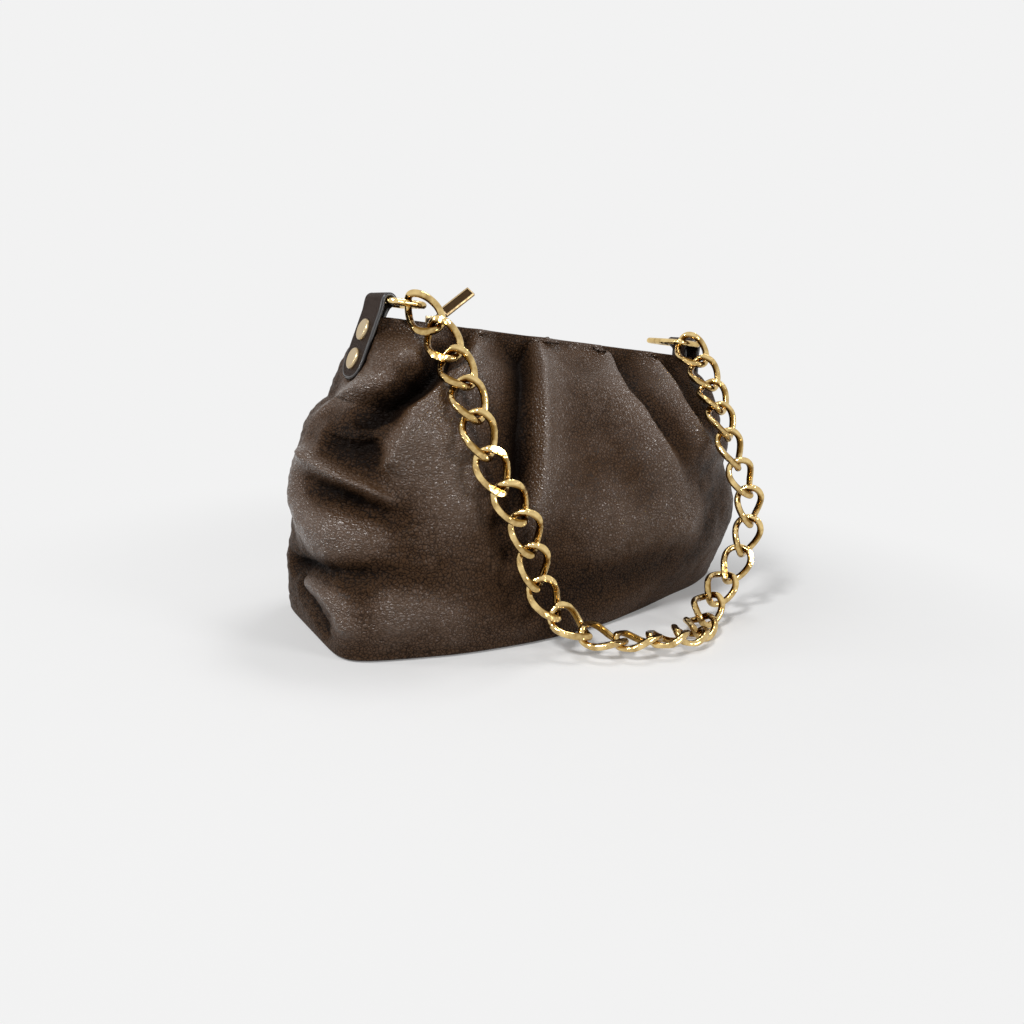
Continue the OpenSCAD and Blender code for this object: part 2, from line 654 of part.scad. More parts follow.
front_panel();
back_panel();
base_panel();
base_board();
lining();
zip_facing(-1);  // zip_facing_front
zip_facing(1);  // zip_facing_back
zip_tape(-1);  // zip_tape_front
zip_tape(1);  // zip_tape_back
zip_teeth(-1, 0);  // zip_teeth_front
zip_teeth(1, tooth_pitch / 2);  // zip_teeth_back
zip_stops();
zip_slider();
zip_pull_neck();
zip_pull_bar();
left_end() color(leather) tab(left_tab_angle);  // left_tab
right_end() color(leather) tab(right_tab_angle);  // right_tab
left_end() color(old_brass) rivet_caps(left_tab_angle);  // left_rivet_caps
right_end() color(old_brass) rivet_caps(right_tab_angle);  // right_rivet_caps
left_end() color(old_brass) rivet_posts(left_tab_angle);  // left_rivet_posts
right_end() color(old_brass) rivet_posts(right_tab_angle);  // right_rivet_posts
left_end() color(gold) ring();  // left_ring
right_end() color(gold) ring();  // right_ring
chain_link(1);  // chain_link_01
chain_link(2);  // chain_link_02
chain_link(3);  // chain_link_03
chain_link(4);  // chain_link_04
chain_link(5);  // chain_link_05
chain_link(6);  // chain_link_06
chain_link(7);  // chain_link_07
chain_link(8);  // chain_link_08
chain_link(9);  // chain_link_09
chain_link(10);  // chain_link_10
chain_link(11);  // chain_link_11
chain_link(12);  // chain_link_12
chain_link(13);  // chain_link_13
chain_link(14);  // chain_link_14
chain_link(15);  // chain_link_15
chain_link(16);  // chain_link_16
chain_link(17);  // chain_link_17
chain_link(18);  // chain_link_18
chain_link(19);  // chain_link_19
chain_link(20);  // chain_link_20
chain_link(21);  // chain_link_21
chain_link(22);  // chain_link_22
chain_link(23);  // chain_link_23
chain_link(24);  // chain_link_24
chain_link(25);  // chain_link_25
chain_link(26);  // chain_link_26
chain_link(27);  // chain_link_27
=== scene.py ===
"""Chain shoulder bag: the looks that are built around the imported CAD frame.

Sizes are written in millimetres, as in the part's source, and become metres when a mesh is made.
The bag's left end is at -X, its front at -Y, and the floor at Z = 0.
"""

import json
import logging
import math
from dataclasses import dataclass, field
from enum import Enum
from typing import Any, Callable, Iterable, Optional, Sequence

import bpy
import numpy as np
from mathutils import Matrix, Vector, noise
from mathutils.bvhtree import BVHTree

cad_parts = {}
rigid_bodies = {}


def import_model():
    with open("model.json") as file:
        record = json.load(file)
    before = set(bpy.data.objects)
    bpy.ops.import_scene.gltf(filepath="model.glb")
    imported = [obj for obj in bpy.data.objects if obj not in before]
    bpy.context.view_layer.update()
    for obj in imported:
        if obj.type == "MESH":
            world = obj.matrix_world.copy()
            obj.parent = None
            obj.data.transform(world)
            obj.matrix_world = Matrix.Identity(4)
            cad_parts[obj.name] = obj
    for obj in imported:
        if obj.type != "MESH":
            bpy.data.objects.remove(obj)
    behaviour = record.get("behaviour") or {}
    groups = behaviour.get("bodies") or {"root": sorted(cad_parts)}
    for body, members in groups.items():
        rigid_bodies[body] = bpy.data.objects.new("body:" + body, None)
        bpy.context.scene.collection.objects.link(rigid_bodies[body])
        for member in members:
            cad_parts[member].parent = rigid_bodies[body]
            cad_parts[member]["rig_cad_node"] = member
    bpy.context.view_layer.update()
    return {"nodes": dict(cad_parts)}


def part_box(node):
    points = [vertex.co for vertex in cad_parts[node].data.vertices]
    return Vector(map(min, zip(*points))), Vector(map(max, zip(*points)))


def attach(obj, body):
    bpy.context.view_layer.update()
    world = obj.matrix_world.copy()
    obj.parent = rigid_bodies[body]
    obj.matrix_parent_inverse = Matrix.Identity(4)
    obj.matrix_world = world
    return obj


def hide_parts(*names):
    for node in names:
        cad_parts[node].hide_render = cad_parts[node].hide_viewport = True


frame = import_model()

MM = 0.001
log = logging.getLogger("chain_bag")

Points = np.ndarray
Faces = list[tuple[int, ...]]


class Slot(Enum):
    """The record's material slots."""

    LEATHER = "leather"
    BASE_LEATHER = "base_leather"
    EDGE_LEATHER = "edge_leather"
    BOARD = "board"
    LINING = "lining"
    TAPE = "tape"
    ZIP_METAL = "zip_metal"
    ANTIQUE_BRASS = "antique_brass"
    GOLD = "gold"


class Side(Enum):
    """The two faces of the bag, by the sign that body formulas use."""

    FRONT = 1
    BACK = -1


class End(Enum):
    """The two ends of the mouth, by the sign of X."""

    LEFT = -1
    RIGHT = 1


# --------------------------------------------------------------------------- shader toolkit


class Value:
    """A number socket in an expression: arithmetic on it adds the Math nodes."""

    def __init__(self, recipe: "Recipe", socket: bpy.types.NodeSocket) -> None:
        """Wraps a socket of a recipe's node."""
        self.recipe = recipe
        self.socket = socket

    def _math(self, operation: str, *terms: Any, clamp: bool = False) -> "Value":
        """Adds a Math node.

        Args:
            operation: the Math node's operation.
            terms: its operands, as values or numbers.
            clamp: whether the result is held between 0 and 1.

        Returns:
            The node's result.
        """
        names = ("Value", "Value_001", "Value_002")
        return self.recipe.add("ShaderNodeMath", {"operation": operation, "use_clamp": clamp},
                               dict(zip(names, terms)))

    def __add__(self, other: Any) -> "Value":
        """Sum."""
        return self._math("ADD", self, other)

    __radd__ = __add__

    def __mul__(self, other: Any) -> "Value":
        """Product."""
        return self._math("MULTIPLY", self, other)

    __rmul__ = __mul__

    def __sub__(self, other: Any) -> "Value":
        """Difference."""
        return self._math("SUBTRACT", self, other)

    def __rsub__(self, other: Any) -> "Value":
        """Difference, with the value on the right."""
        return self._math("SUBTRACT", other, self)

    def clamped(self) -> "Value":
        """The value held between 0 and 1."""
        return self._math("ADD", self, 0.0, clamp=True)

    def between(self, low: float, high: float) -> "Value":
        """A smooth step from 0 at low to 1 at high."""
        return self.recipe.add("ShaderNodeMapRange", {"interpolation_type": "SMOOTHSTEP"},
                               {"Value": self, "From Min": low, "From Max": high})


class Recipe:
    """Builds the node tree of one material, or of the world."""

    def __init__(self, name: str, world: Optional[bpy.types.World] = None) -> None:
        """Starts an empty node tree, for a new material where no world is given."""
        self.material = world or bpy.data.materials.new(name)
        self.material.use_nodes = True
        self.tree = self.material.node_tree
        self.tree.nodes.clear()

    @staticmethod
    def _socket(sockets: Any, key: Any) -> bpy.types.NodeSocket:
        """Finds a socket by place, identifier or name."""
        if isinstance(key, int):
            return sockets[key]
        for socket in sockets:
            if socket.identifier == key:
                return socket
        return sockets[key]

    def add(self, kind: str, settings: Optional[dict[str, Any]] = None,
            sockets: Optional[dict[Any, Any]] = None, out: Any = 0) -> Value:
        """Adds a node.

        Args:
            kind: the node's type.
            settings: its properties, set first; "stops" holds a ramp's (place, colour) pairs.
            sockets: values or links of its inputs, by identifier or name.
            out: which output the result wraps.

        Returns:
            The chosen output.
        """
        node = self.tree.nodes.new(kind)
        for key, value in (settings or {}).items():
            if key == "stops":
                self._stops(node.color_ramp, value)
            else:
                setattr(node, key, value)
        for key, value in (sockets or {}).items():
            socket = self._socket(node.inputs, key)
            if isinstance(value, Value):
                self.tree.links.new(value.socket, socket)
            elif isinstance(value, (tuple, list)) and len(value) == 3 and len(
                    getattr(socket, "default_value", (0, 0, 0))) == 4:
                socket.default_value = (*value, 1.0)
            else:
                socket.default_value = value
        return Value(self, self._socket(node.outputs, out)) if len(node.outputs) else Value(self, None)

    @staticmethod
    def _stops(ramp: bpy.types.ColorRamp, stops: Sequence[tuple[float, Sequence[float]]]) -> None:
        """Sets the stops of a colour ramp."""
        while len(ramp.elements) < len(stops):
            ramp.elements.new(0.5)
        for element, (place, colour) in zip(ramp.elements, stops):
            element.position = place
            element.color = (*colour, 1.0)

    def place(self) -> Value:
        """The object's own coordinates, in metres."""
        return self.add("ShaderNodeTexCoord", out="Object")

    def scaled(self, vector: Value, scale: Sequence[float]) -> Value:
        """A vector multiplied by three factors."""
        return self.add("ShaderNodeVectorMath", {"operation": "MULTIPLY"},
                        {"Vector": vector, "Vector_001": tuple(scale)})

    def shifted(self, vector: Value, other: Any) -> Value:
        """The sum of two vectors."""
        return self.add("ShaderNodeVectorMath", {"operation": "ADD"},
                        {"Vector": vector, "Vector_001": other})

    def speckle(self, vector: Value, scale: float, detail: float = 2.0, roughness: float = 0.5) -> Value:
        """Noise between 0 and 1 at so many spots a metre."""
        return self.add("ShaderNodeTexNoise", None,
                        {"Vector": vector, "Scale": scale, "Detail": detail, "Roughness": roughness})

    def wobbled(self, vector: Value, scale: float, reach: float) -> Value:
        """Coordinates pushed about by noise, by up to reach metres."""
        colour = self.add("ShaderNodeTexNoise", None, {"Vector": vector, "Scale": scale}, out="Color")
        centred = self.add("ShaderNodeVectorMath", {"operation": "SUBTRACT"},
                           {"Vector": colour, "Vector_001": (0.5, 0.5, 0.5)})
        return self.shifted(vector, self.scaled(centred, (2 * reach,) * 3))

    def cells(self, vector: Value, scale: float, randomness: float = 1.0) -> Value:
        """Distance from the borders of a pattern of cells."""
        return self.add("ShaderNodeTexVoronoi", {"feature": "DISTANCE_TO_EDGE"},
                        {"Vector": vector, "Scale": scale, "Randomness": randomness})

    def mark(self, name: str) -> Value:
        """A number stored on the mesh's points."""
        return self.add("ShaderNodeAttribute", {"attribute_name": name}, out="Fac")

    def blend(self, share: Any, low: Any, high: Any) -> Value:
        """A mix of two colours."""
        return self.add("ShaderNodeMix", {"data_type": "RGBA"},
                        {"Factor_Float": share, "A_Color": low, "B_Color": high}, out="Result_Color")

    def ramp(self, share: Value, stops: Sequence[tuple[float, Sequence[float]]]) -> Value:
        """A colour read from a ramp."""
        return self.add("ShaderNodeValToRGB", {"stops": stops}, {"Fac": share}, out="Color")

    def bump(self, height: Value, depth: float, strength: float = 1.0,
             under: Optional[Value] = None) -> Value:
        """A bumped normal; depth is the relief's height in metres."""
        sockets = {"Height": height, "Distance": depth, "Strength": strength}
        if under is not None:
            sockets["Normal"] = under
        return self.add("ShaderNodeBump", None, sockets)

    def most(self, *values: Value) -> Value:
        """The largest of some values."""
        top = values[0]
        for value in values[1:]:
            top = top._math("MAXIMUM", top, value)
        return top

    def ray_is(self, *kinds: str) -> Value:
        """1 for light rays of the named kinds, and 0 for others."""
        return self.most(*(self.add("ShaderNodeLightPath", out=f"Is {kind} Ray") for kind in kinds))

    def mixed(self, share: Value, low: Value, high: Value) -> Value:
        """A mix of two shaders."""
        return self.add("ShaderNodeMixShader", None, {"Fac": share, "Shader": low, "Shader_001": high})

    def surface(self, **sockets: Any) -> Value:
        """A Principled shader; underscores in the names stand for spaces."""
        return self.add("ShaderNodeBsdfPrincipled", None,
                        {key.replace("_", " "): value for key, value in sockets.items()})

    def finish(self, shader: Value) -> bpy.types.Material:
        """Links the shader to the output and returns the material."""
        self.add("ShaderNodeOutputMaterial", None, {"Surface": shader})
        return self.material


# --------------------------------------------------------------------------- finishes


@dataclass(frozen=True)
class Finish:
    """A finish that is made once and dresses many pieces."""

    name: str
    slot: Slot

    def build(self) -> bpy.types.Material:
        """Makes the material."""
        raise NotImplementedError

    def material(self) -> bpy.types.Material:
        """The finish's material, made at its first use."""
        return bpy.data.materials.get(self.name) or self.build()

    def dress(self, piece: bpy.types.Object) -> None:
        """Puts the finish on every material slot of a piece."""
        if not piece.material_slots:
            piece.data.materials.append(self.material())
        for held in piece.material_slots:
            held.material = self.material()


@dataclass(frozen=True)
class GrainedLeather(Finish):
    """Waxed leather with a pebbled grain; the fold marks polish its ridges, paint a lighter highlight colour on them
    and paint shade into its creases, and the grain's grooves are painted darker as shade.
    """

    # deep is the painted shade colour of the creases and of the grain's grooves; the lightest colour is lighter wear
    # and the painted highlight on ridges.
    deep: tuple[float, float, float] = (0.0040, 0.0018, 0.0008)
    body: tuple[float, float, float] = (0.060, 0.0310, 0.0150)
    wear_and_ridge_highlight: tuple[float, float, float] = (0.082, 0.045, 0.024)
    grain: float = 1.8
    depth: float = 0.00042
    gloss: float = 0.38
    wax: float = 1.0
    ridge_wax: float = 1.25
    flat_wax: float = 0.11
    waxed_specular: float = 0.95
    specular: float = 0.05

    def build(self) -> bpy.types.Material:
        """Makes the leather."""
        r = Recipe(self.name)
        spot = r.place()
        fold = r.mark("fold")
        crease = r.mark("crease")
        warped = r.wobbled(spot, 420.0, 0.0009)
        pebbles = r.cells(warped, 1000.0 / self.grain)
        drawn = r.cells(r.scaled(warped, (0.62, 0.62, 1.5)), 1000.0 / self.grain)
        drawn = pebbles + (drawn - pebbles) * crease
        grain, top = drawn.between(0.0, 0.17), drawn.between(0.0, 0.36)
        pores = r.speckle(spot, 2600.0, 3.0, 0.6)
        wrinkles = r.speckle(r.scaled(warped, (0.5, 0.5, 1.7)), 240.0, 4.0, 0.6)
        blotch = r.speckle(spot, 22.0, 3.0, 0.55)
        relief = top * 0.85 + pores * 0.15 + wrinkles * crease * 1.1
        normal = r.bump(relief, self.depth, 1.0)
        # Painted light in the colour: the fold mark lightens ridges as a painted highlight and darkens valleys as
        # painted shade, and the grain's grooves are darkened as painted shade.
        tone = (blotch * 0.28 + grain * 0.38 + fold * 0.48).clamped()
        colour = r.ramp(tone, ((0.08, self.deep), (0.55, self.body), (1.0, self.wear_and_ridge_highlight)))
        rough = (self.gloss + 0.14 - grain * 0.14 - fold * 0.10 + blotch * 0.08).clamped()
        polish = ((fold * self.ridge_wax + self.flat_wax) * (top * 0.7 + 0.3) * self.wax).clamped()
        matt = r.surface(Base_Color=colour, Roughness=rough, Normal=normal, Specular_IOR_Level=self.specular)
        waxed = r.surface(Base_Color=colour, Roughness=(0.28 - fold * 0.05).clamped(), Normal=normal,
                          Specular_IOR_Level=self.waxed_specular)
        return r.finish(r.mixed(polish, matt, waxed))


@dataclass(frozen=True)
class PaintedEdge(Finish):
    """Black edge paint on a cut edge of leather: smooth, with faint runs of the brush."""

    def build(self) -> bpy.types.Material:
        """Makes the paint."""
        r = Recipe(self.name)
        spot = r.place()
        runs = r.speckle(r.scaled(spot, (1.0, 1.0, 0.25)), 900.0, 3.0)
        colour = r.blend(runs, (0.006, 0.005, 0.005), (0.018, 0.015, 0.014))
        normal = r.bump(runs, 0.00008, 0.7)
        return r.finish(r.surface(Base_Color=colour, Roughness=0.24 + runs * 0.16, Normal=normal,
                                  Coat_Weight=0.3, Coat_Roughness=0.2))


@dataclass(frozen=True)
class WovenCloth(Finish):
    """A plain weave of warp and weft threads."""

    dark: tuple[float, float, float] = (0.018, 0.013, 0.010)
    light: tuple[float, float, float] = (0.060, 0.046, 0.036)
    thread: float = 0.55

    def build(self) -> bpy.types.Material:
        """Makes the weave."""
        r = Recipe(self.name)
        spot = r.wobbled(r.place(), 160.0, 0.0002)
        size = 2 * math.pi / (self.thread * MM)
        warp = r.add("ShaderNodeTexWave", {"bands_direction": "DIAGONAL"},
                     {"Vector": spot, "Scale": size / 40.0, "Distortion": 0.4}, out="Fac")
        weft = r.add("ShaderNodeTexWave", {"bands_direction": "Z"},
                     {"Vector": spot, "Scale": size / 40.0, "Distortion": 0.4}, out="Fac")
        threads = warp * 0.5 + weft * 0.5
        fuzz = r.speckle(spot, 3000.0, 2.0)
        colour = r.blend((threads * 0.8 + fuzz * 0.3).clamped(), self.dark, self.light)
        normal = r.bump(threads + fuzz * 0.2, 0.00015, 0.8)
        return r.finish(r.surface(Base_Color=colour, Roughness=0.86 - threads * 0.1, Normal=normal,
                                  Sheen_Weight=0.15, Sheen_Roughness=0.5))


@dataclass(frozen=True)
class FibreBoard(Finish):
    """Pressed fibre board that stiffens the base."""

    def build(self) -> bpy.types.Material:
        """Makes the board."""
        r = Recipe(self.name)
        spot = r.place()
        fibres = r.speckle(r.scaled(spot, (0.3, 1.0, 1.0)), 1400.0, 4.0)
        flecks = r.speckle(spot, 500.0, 2.0).between(0.56, 0.7)
        colour = r.blend((fibres * 0.7 + flecks * 0.3).clamped(), (0.045, 0.034, 0.025), (0.11, 0.086, 0.062))
        return r.finish(r.surface(Base_Color=colour, Roughness=0.8 + fibres * 0.15,
                                  Normal=r.bump(fibres, 0.0001, 0.7)))


@dataclass(frozen=True)
class Metal(Finish):
    """A plated or rubbed metal with tarnish in its spots, painted shade on the points that a piece marks, and fine
    scratches.
    """

    bright: tuple[float, float, float] = (0.9, 0.7, 0.4)
    # Colour of the tarnish spots, and of the painted shade on marked points.
    tarnish_and_shade: tuple[float, float, float] = (0.6, 0.4, 0.15)
    gloss: float = 0.12
    spots: float = 120.0
    wear: float = 0.5
    scratch: float = 0.00002
    dents: float = 0.0

    def build(self) -> bpy.types.Material:
        """Makes the metal."""
        r = Recipe(self.name)
        spot = r.place()
        patches = r.speckle(spot, self.spots, 4.0, 0.6).between(0.35, 0.72)
        scratches = r.speckle(r.scaled(r.wobbled(spot, 200.0, 0.002), (1.0, 0.12, 0.12)), 3800.0, 2.0)
        waves = r.speckle(spot, 330.0, 1.0)
        # The mark paints shade into the colour: the chain wire's inner sides and the puller's sunk face take the
        # darker colour.
        hollow = r.mark("hollow")
        colour = r.blend((patches * self.wear + hollow).clamped(), self.bright, self.tarnish_and_shade)
        rough = (self.gloss + patches * 0.10 + scratches * 0.06).clamped()
        normal = r.bump(scratches, self.scratch, 0.6, r.bump(waves, self.dents, 1.0)) if self.dents else \
            r.bump(scratches, self.scratch, 0.6)
        return r.finish(r.surface(Base_Color=colour, Metallic=1.0, Roughness=rough, Normal=normal))


LEATHER = GrainedLeather("pebbled_leather", Slot.LEATHER)
STRAP_LEATHER = GrainedLeather("smooth_tab_leather", Slot.LEATHER, grain=0.8, depth=0.00012, gloss=0.42,
                               wax=0.25, body=(0.032, 0.0185, 0.0125), wear_and_ridge_highlight=(0.060, 0.036, 0.026))
BASE_LEATHER = GrainedLeather("base_leather", Slot.BASE_LEATHER, body=(0.034, 0.018, 0.010), gloss=0.5)
NECK_LEATHER = GrainedLeather("puller_leather", Slot.EDGE_LEATHER, grain=0.6, depth=0.00008, gloss=0.44,
                              body=(0.030, 0.016, 0.013), wear_and_ridge_highlight=(0.060, 0.036, 0.030))
EDGE_PAINT = PaintedEdge("black_edge_paint", Slot.EDGE_LEATHER)
LINING_CLOTH = WovenCloth("lining_cloth", Slot.LINING)
TAPE_CLOTH = WovenCloth("zip_tape_weave", Slot.TAPE, dark=(0.010, 0.007, 0.006), light=(0.034, 0.025, 0.02),
                        thread=0.4)
BOARD = FibreBoard("base_fibre_board", Slot.BOARD)
# The gold's darker colour is for its tarnish spots and for the painted shade on the links' inner sides.
GOLD = Metal("polished_light_gold", Slot.GOLD, bright=(0.85, 0.63, 0.285), tarnish_and_shade=(0.22, 0.115, 0.022),
             gloss=0.07, wear=0.75, dents=0.0004)
BRASS = Metal("antique_brass", Slot.ANTIQUE_BRASS, bright=(0.46, 0.32, 0.16), tarnish_and_shade=(0.20, 0.125, 0.055),
              gloss=0.30, spots=420.0, wear=0.8, scratch=0.00003)
# The puller's dark colour is painted shade on its sunk face, and tarnish in its spots.
BAR_BRASS = Metal("puller_brass", Slot.ANTIQUE_BRASS, bright=(0.50, 0.36, 0.19), tarnish_and_shade=(0.045, 0.026, 0.012),
                  gloss=0.34, spots=420.0, wear=0.35, scratch=0.00003)
ZIP_METAL = Metal("zip_metal", Slot.ZIP_METAL, bright=(0.40, 0.29, 0.15), tarnish_and_shade=(0.16, 0.10, 0.05),
                  gloss=0.28, spots=700.0, wear=0.8)


# --------------------------------------------------------------------------- mesh helpers


def sheet_faces(rows: int, cols: int, around: bool = False, closed: bool = False,
                flip: bool = False) -> Faces:
    """Quads over a grid of points.

    Args:
        rows: number of rows of points.
        cols: number of points in a row.
        around: whether each row joins its own start.
        closed: whether the last row joins the first.
        flip: whether the faces look the other way.

    Returns:
        The faces' point numbers.
    """
    i, j = np.meshgrid(np.arange(rows if closed else rows - 1), np.arange(cols if around else cols - 1),
                       indexing="ij")
    k, m = (i + 1) % rows, (j + 1) % cols
    quads = np.stack([i * cols + j, i * cols + m, k * cols + m, k * cols + j], -1).reshape(-1, 4)
    return [tuple(q) for q in (quads[:, ::-1] if flip else quads).tolist()]


def make_piece(name: str, points: Points, faces: Faces, smooth: bool = True,
               sharp: Optional[float] = None) -> bpy.types.Object:
    """Makes an object from points in millimetres.

    Args:
        name: the piece's name.
        points: its points.
        faces: its faces.
        smooth: whether it is smooth shaded.
        sharp: angle in degrees above which an edge stays sharp.

    Returns:
        The new object.
    """
    mesh = bpy.data.meshes.new(name)
    mesh.from_pydata((np.asarray(points, float).reshape(-1, 3) * MM).tolist(), [], faces)
    mesh.validate()
    mesh.polygons.foreach_set("use_smooth", [smooth] * len(mesh.polygons))
    if sharp is not None:
        mesh.set_sharp_from_angle(angle=math.radians(sharp))
    piece = bpy.data.objects.new(name, mesh)
    bpy.context.scene.collection.objects.link(piece)
    return piece


def set_mark(piece: bpy.types.Object, name: str, values: Points) -> None:
    """Stores a number on each point of a piece."""
    layer = piece.data.attributes.new(name, "FLOAT", "POINT")
    layer.data.foreach_set("value", np.asarray(values, np.float32).ravel())


def settle(piece: bpy.types.Object, finish: Finish, body: str = "bag",
           replaced: Iterable[str] = ()) -> bpy.types.Object:
    """Dresses a piece, lets it ride on a CAD body and hides the nodes that it stands for."""
    finish.dress(piece)
    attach(piece, body)
    if replaced:
        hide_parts(*replaced)
    log.info("%s: %d points, rides on %s", piece.name, len(piece.data.vertices), body)
    return piece


def unit(vectors: Points) -> Points:
    """Vectors scaled to length 1."""
    return vectors / np.maximum(np.linalg.norm(vectors, axis=-1, keepdims=True), 1e-12)


def tube(path: Points, radius: float, sides: int, normal: Callable[[Points], Points],
         closed: bool = True) -> tuple[Points, Faces]:
    """A round wire along a path.

    Args:
        path: the wire's middle line.
        radius: the wire's radius.
        sides: points around the wire.
        normal: gives each path point's outward direction.
        closed: whether the wire joins its own start.

    Returns:
        The points and the faces.
    """
    ahead, behind = np.roll(path, -1, 0), np.roll(path, 1, 0)
    if not closed:
        ahead[-1], behind[0] = path[-1], path[0]
    along = unit(ahead - behind)
    n = unit(np.cross(along, normal(path)))
    m = np.cross(n, along)
    a = 2 * np.pi * (np.arange(sides) + 0.5) / sides
    cos, sin = np.cos(a)[None, :, None], np.sin(a)[None, :, None]
    ring = path[:, None] + radius * (cos * m[:, None] + sin * n[:, None])
    return ring.reshape(-1, 3), sheet_faces(len(path), sides, around=True, closed=closed)


def stacked(loops: Sequence[Points], caps: tuple[bool, bool] = (True, True)) -> tuple[Points, Faces]:
    """Joins loops of equal count into a skin, with its two ends filled."""
    count = len(loops[0])
    faces = sheet_faces(len(loops), count, around=True)
    if caps[0]:
        faces.append(tuple(range(count - 1, -1, -1)))
    if caps[1]:
        faces.append(tuple(range((len(loops) - 1) * count, len(loops) * count)))
    return np.concatenate(loops), faces


def smooth_step(x: Points) -> Points:
    """A smooth step from 0 to 1."""
    x = np.clip(x, 0, 1)
    return x * x * (3 - 2 * x)


def smooth_path(points: Points, parts: int = 6) -> Points:
    """A Catmull-Rom curve through points, with so many parts between two of them."""
    p = np.vstack([2 * points[0] - points[1], points, 2 * points[-1] - points[-2]])
    t = (np.arange(parts) / parts)[:, None]
    out = [0.5 * (2 * p[i] + (p[i + 1] - p[i - 1]) * t
                  + (2 * p[i - 1] - 5 * p[i] + 4 * p[i + 1] - p[i + 2]) * t ** 2
                  + (3 * p[i] - p[i - 1] - 3 * p[i + 1] + p[i + 2]) * t ** 3) for i in range(1, len(p) - 2)]
    return np.vstack(out + [points[-1:]])


@dataclass(frozen=True)
class Profile:
    """A smooth curve through (place, value) knots that is level where the values turn."""

    knots: tuple[tuple[float, float], ...]

    def __call__(self, t: Any) -> Points:
        """The curve's values at the places t."""
        x, y = np.array(self.knots, float).T
        step, rise = np.diff(x), np.diff(y)
        slope = np.empty(len(x))
        slope[0], slope[-1] = rise[0] / step[0], rise[-1] / step[-1]
        inner = (y[2:] - y[:-2]) / (x[2:] - x[:-2])
        slope[1:-1] = np.where(rise[:-1] * rise[1:] <= 0, 0, inner)
        t = np.asarray(t, float)
        i = np.clip(np.searchsorted(x, t, side="right") - 1, 0, len(x) - 2)
        h = (t - x[i]) / step[i]
        h2, h3 = h * h, h ** 3
        return ((2 * h3 - 3 * h2 + 1) * y[i] + (h3 - 2 * h2 + h) * step[i] * slope[i]
                + (3 * h2 - 2 * h3) * y[i + 1] + (h3 - h2) * step[i] * slope[i + 1])


@dataclass(frozen=True)
class MouthFrame:
    """The sloping frame that tabs, rings, zip and chain are built in."""

    shift: float = 1.5
    tilt: float = 4.2
    axis_height: float = 165.0
    half_length: float = 104.5
    bar_x: float = 105.7
    leg_y: float = 14.5

    def matrix(self, end: End = End.LEFT) -> Matrix:
        """Its place in millimetres; the right end is the left one mirrored."""
        turned = Matrix.Translation((self.shift, 0, self.axis_height)) @ Matrix.Rotation(
            math.radians(self.tilt), 4, "Y")
        return turned @ Matrix.Scale(-1, 4, (1, 0, 0)) if end is End.RIGHT else turned

    def put(self, points: Points, end: End = End.LEFT) -> Points:
        """Points of the mouth frame in the bag's frame."""
        return moved(points, self.matrix(end))

    def tab(self, points: Points, end: End, slope: float) -> Points:
        """Points of a tab's frame in the bag's frame."""
        legs = Matrix.Translation((-self.bar_x, 0, 0)) @ Matrix.Rotation(math.radians(slope), 4, "Y")
        return moved(points, self.matrix(end) @ legs)


def moved(points: Points, matrix: Matrix) -> Points:
    """Points moved by a matrix."""
    m = np.array(matrix)
    return np.asarray(points, float) @ m[:3, :3].T + m[:3, 3]


MOUTH = MouthFrame()
TAB_SLOPE = {End.LEFT: 16.0, End.RIGHT: 7.0}


# --------------------------------------------------------------------------- leather body


@dataclass(frozen=True)
class FoldLine:
    """A ridge or a valley that the leather holds along a line.

    rise is its height out of the surface in millimetres, negative for a valley. near and far are its
    widths on the two sides: near is on the right of a line drawn downwards and above a line drawn to
    the right, on the front. fade is the share of its length over which each end runs out.
    """

    name: str
    points: tuple[tuple[float, float, float], ...]
    rise: float
    near: float
    far: float
    fade: tuple[float, float] = (0.25, 0.25)
    power: float = 2.0

    def push(self, where: Points, normals: Points) -> Points:
        """Works out how far the line moves each point out.

        Args:
            where: the points of the smooth surface.
            normals: their outward directions.

        Returns:
            A distance for each point, in millimetres.
        """
        path = smooth_path(np.array(self.points, float))
        reach = 3.0 * max(self.near, self.far)
        low, high = path.min(0) - reach, path.max(0) + reach
        index = np.nonzero(((where > low) & (where < high)).all(1))[0]
        out = np.zeros(len(where))
        if not len(index):
            return out
        p, n = where[index], normals[index]
        a, b = path[:-1], path[1:]
        ab = b - a
        span = np.concatenate([[0], np.cumsum(np.linalg.norm(ab, axis=1))])
        best = np.full(len(p), 1e9)
        place, side = np.zeros(len(p)), np.ones(len(p))
        for k in range(len(ab)):
            t = np.clip(((p - a[k]) @ ab[k]) / (ab[k] @ ab[k]), 0, 1)
            away = p - (a[k] + t[:, None] * ab[k])
            dist = np.linalg.norm(away, axis=1)
            closer = dist < best
            best[closer] = dist[closer]
            place[closer] = ((span[k] + t * (span[k + 1] - span[k])) / span[-1])[closer]
            turn = (away * np.cross(n, ab[k])).sum(1)
            side[closer] = np.where(turn >= 0, 1, -1)[closer]
        width = np.where(side > 0, self.near, self.far)
        strength = np.ones(len(p))
        if self.fade[0] > 0:
            strength *= smooth_step(place / self.fade[0])
        if self.fade[1] > 0:
            strength *= smooth_step((1 - place) / self.fade[1])
        out[index] = self.rise * strength * np.exp(-((best / width) ** self.power))
        return out


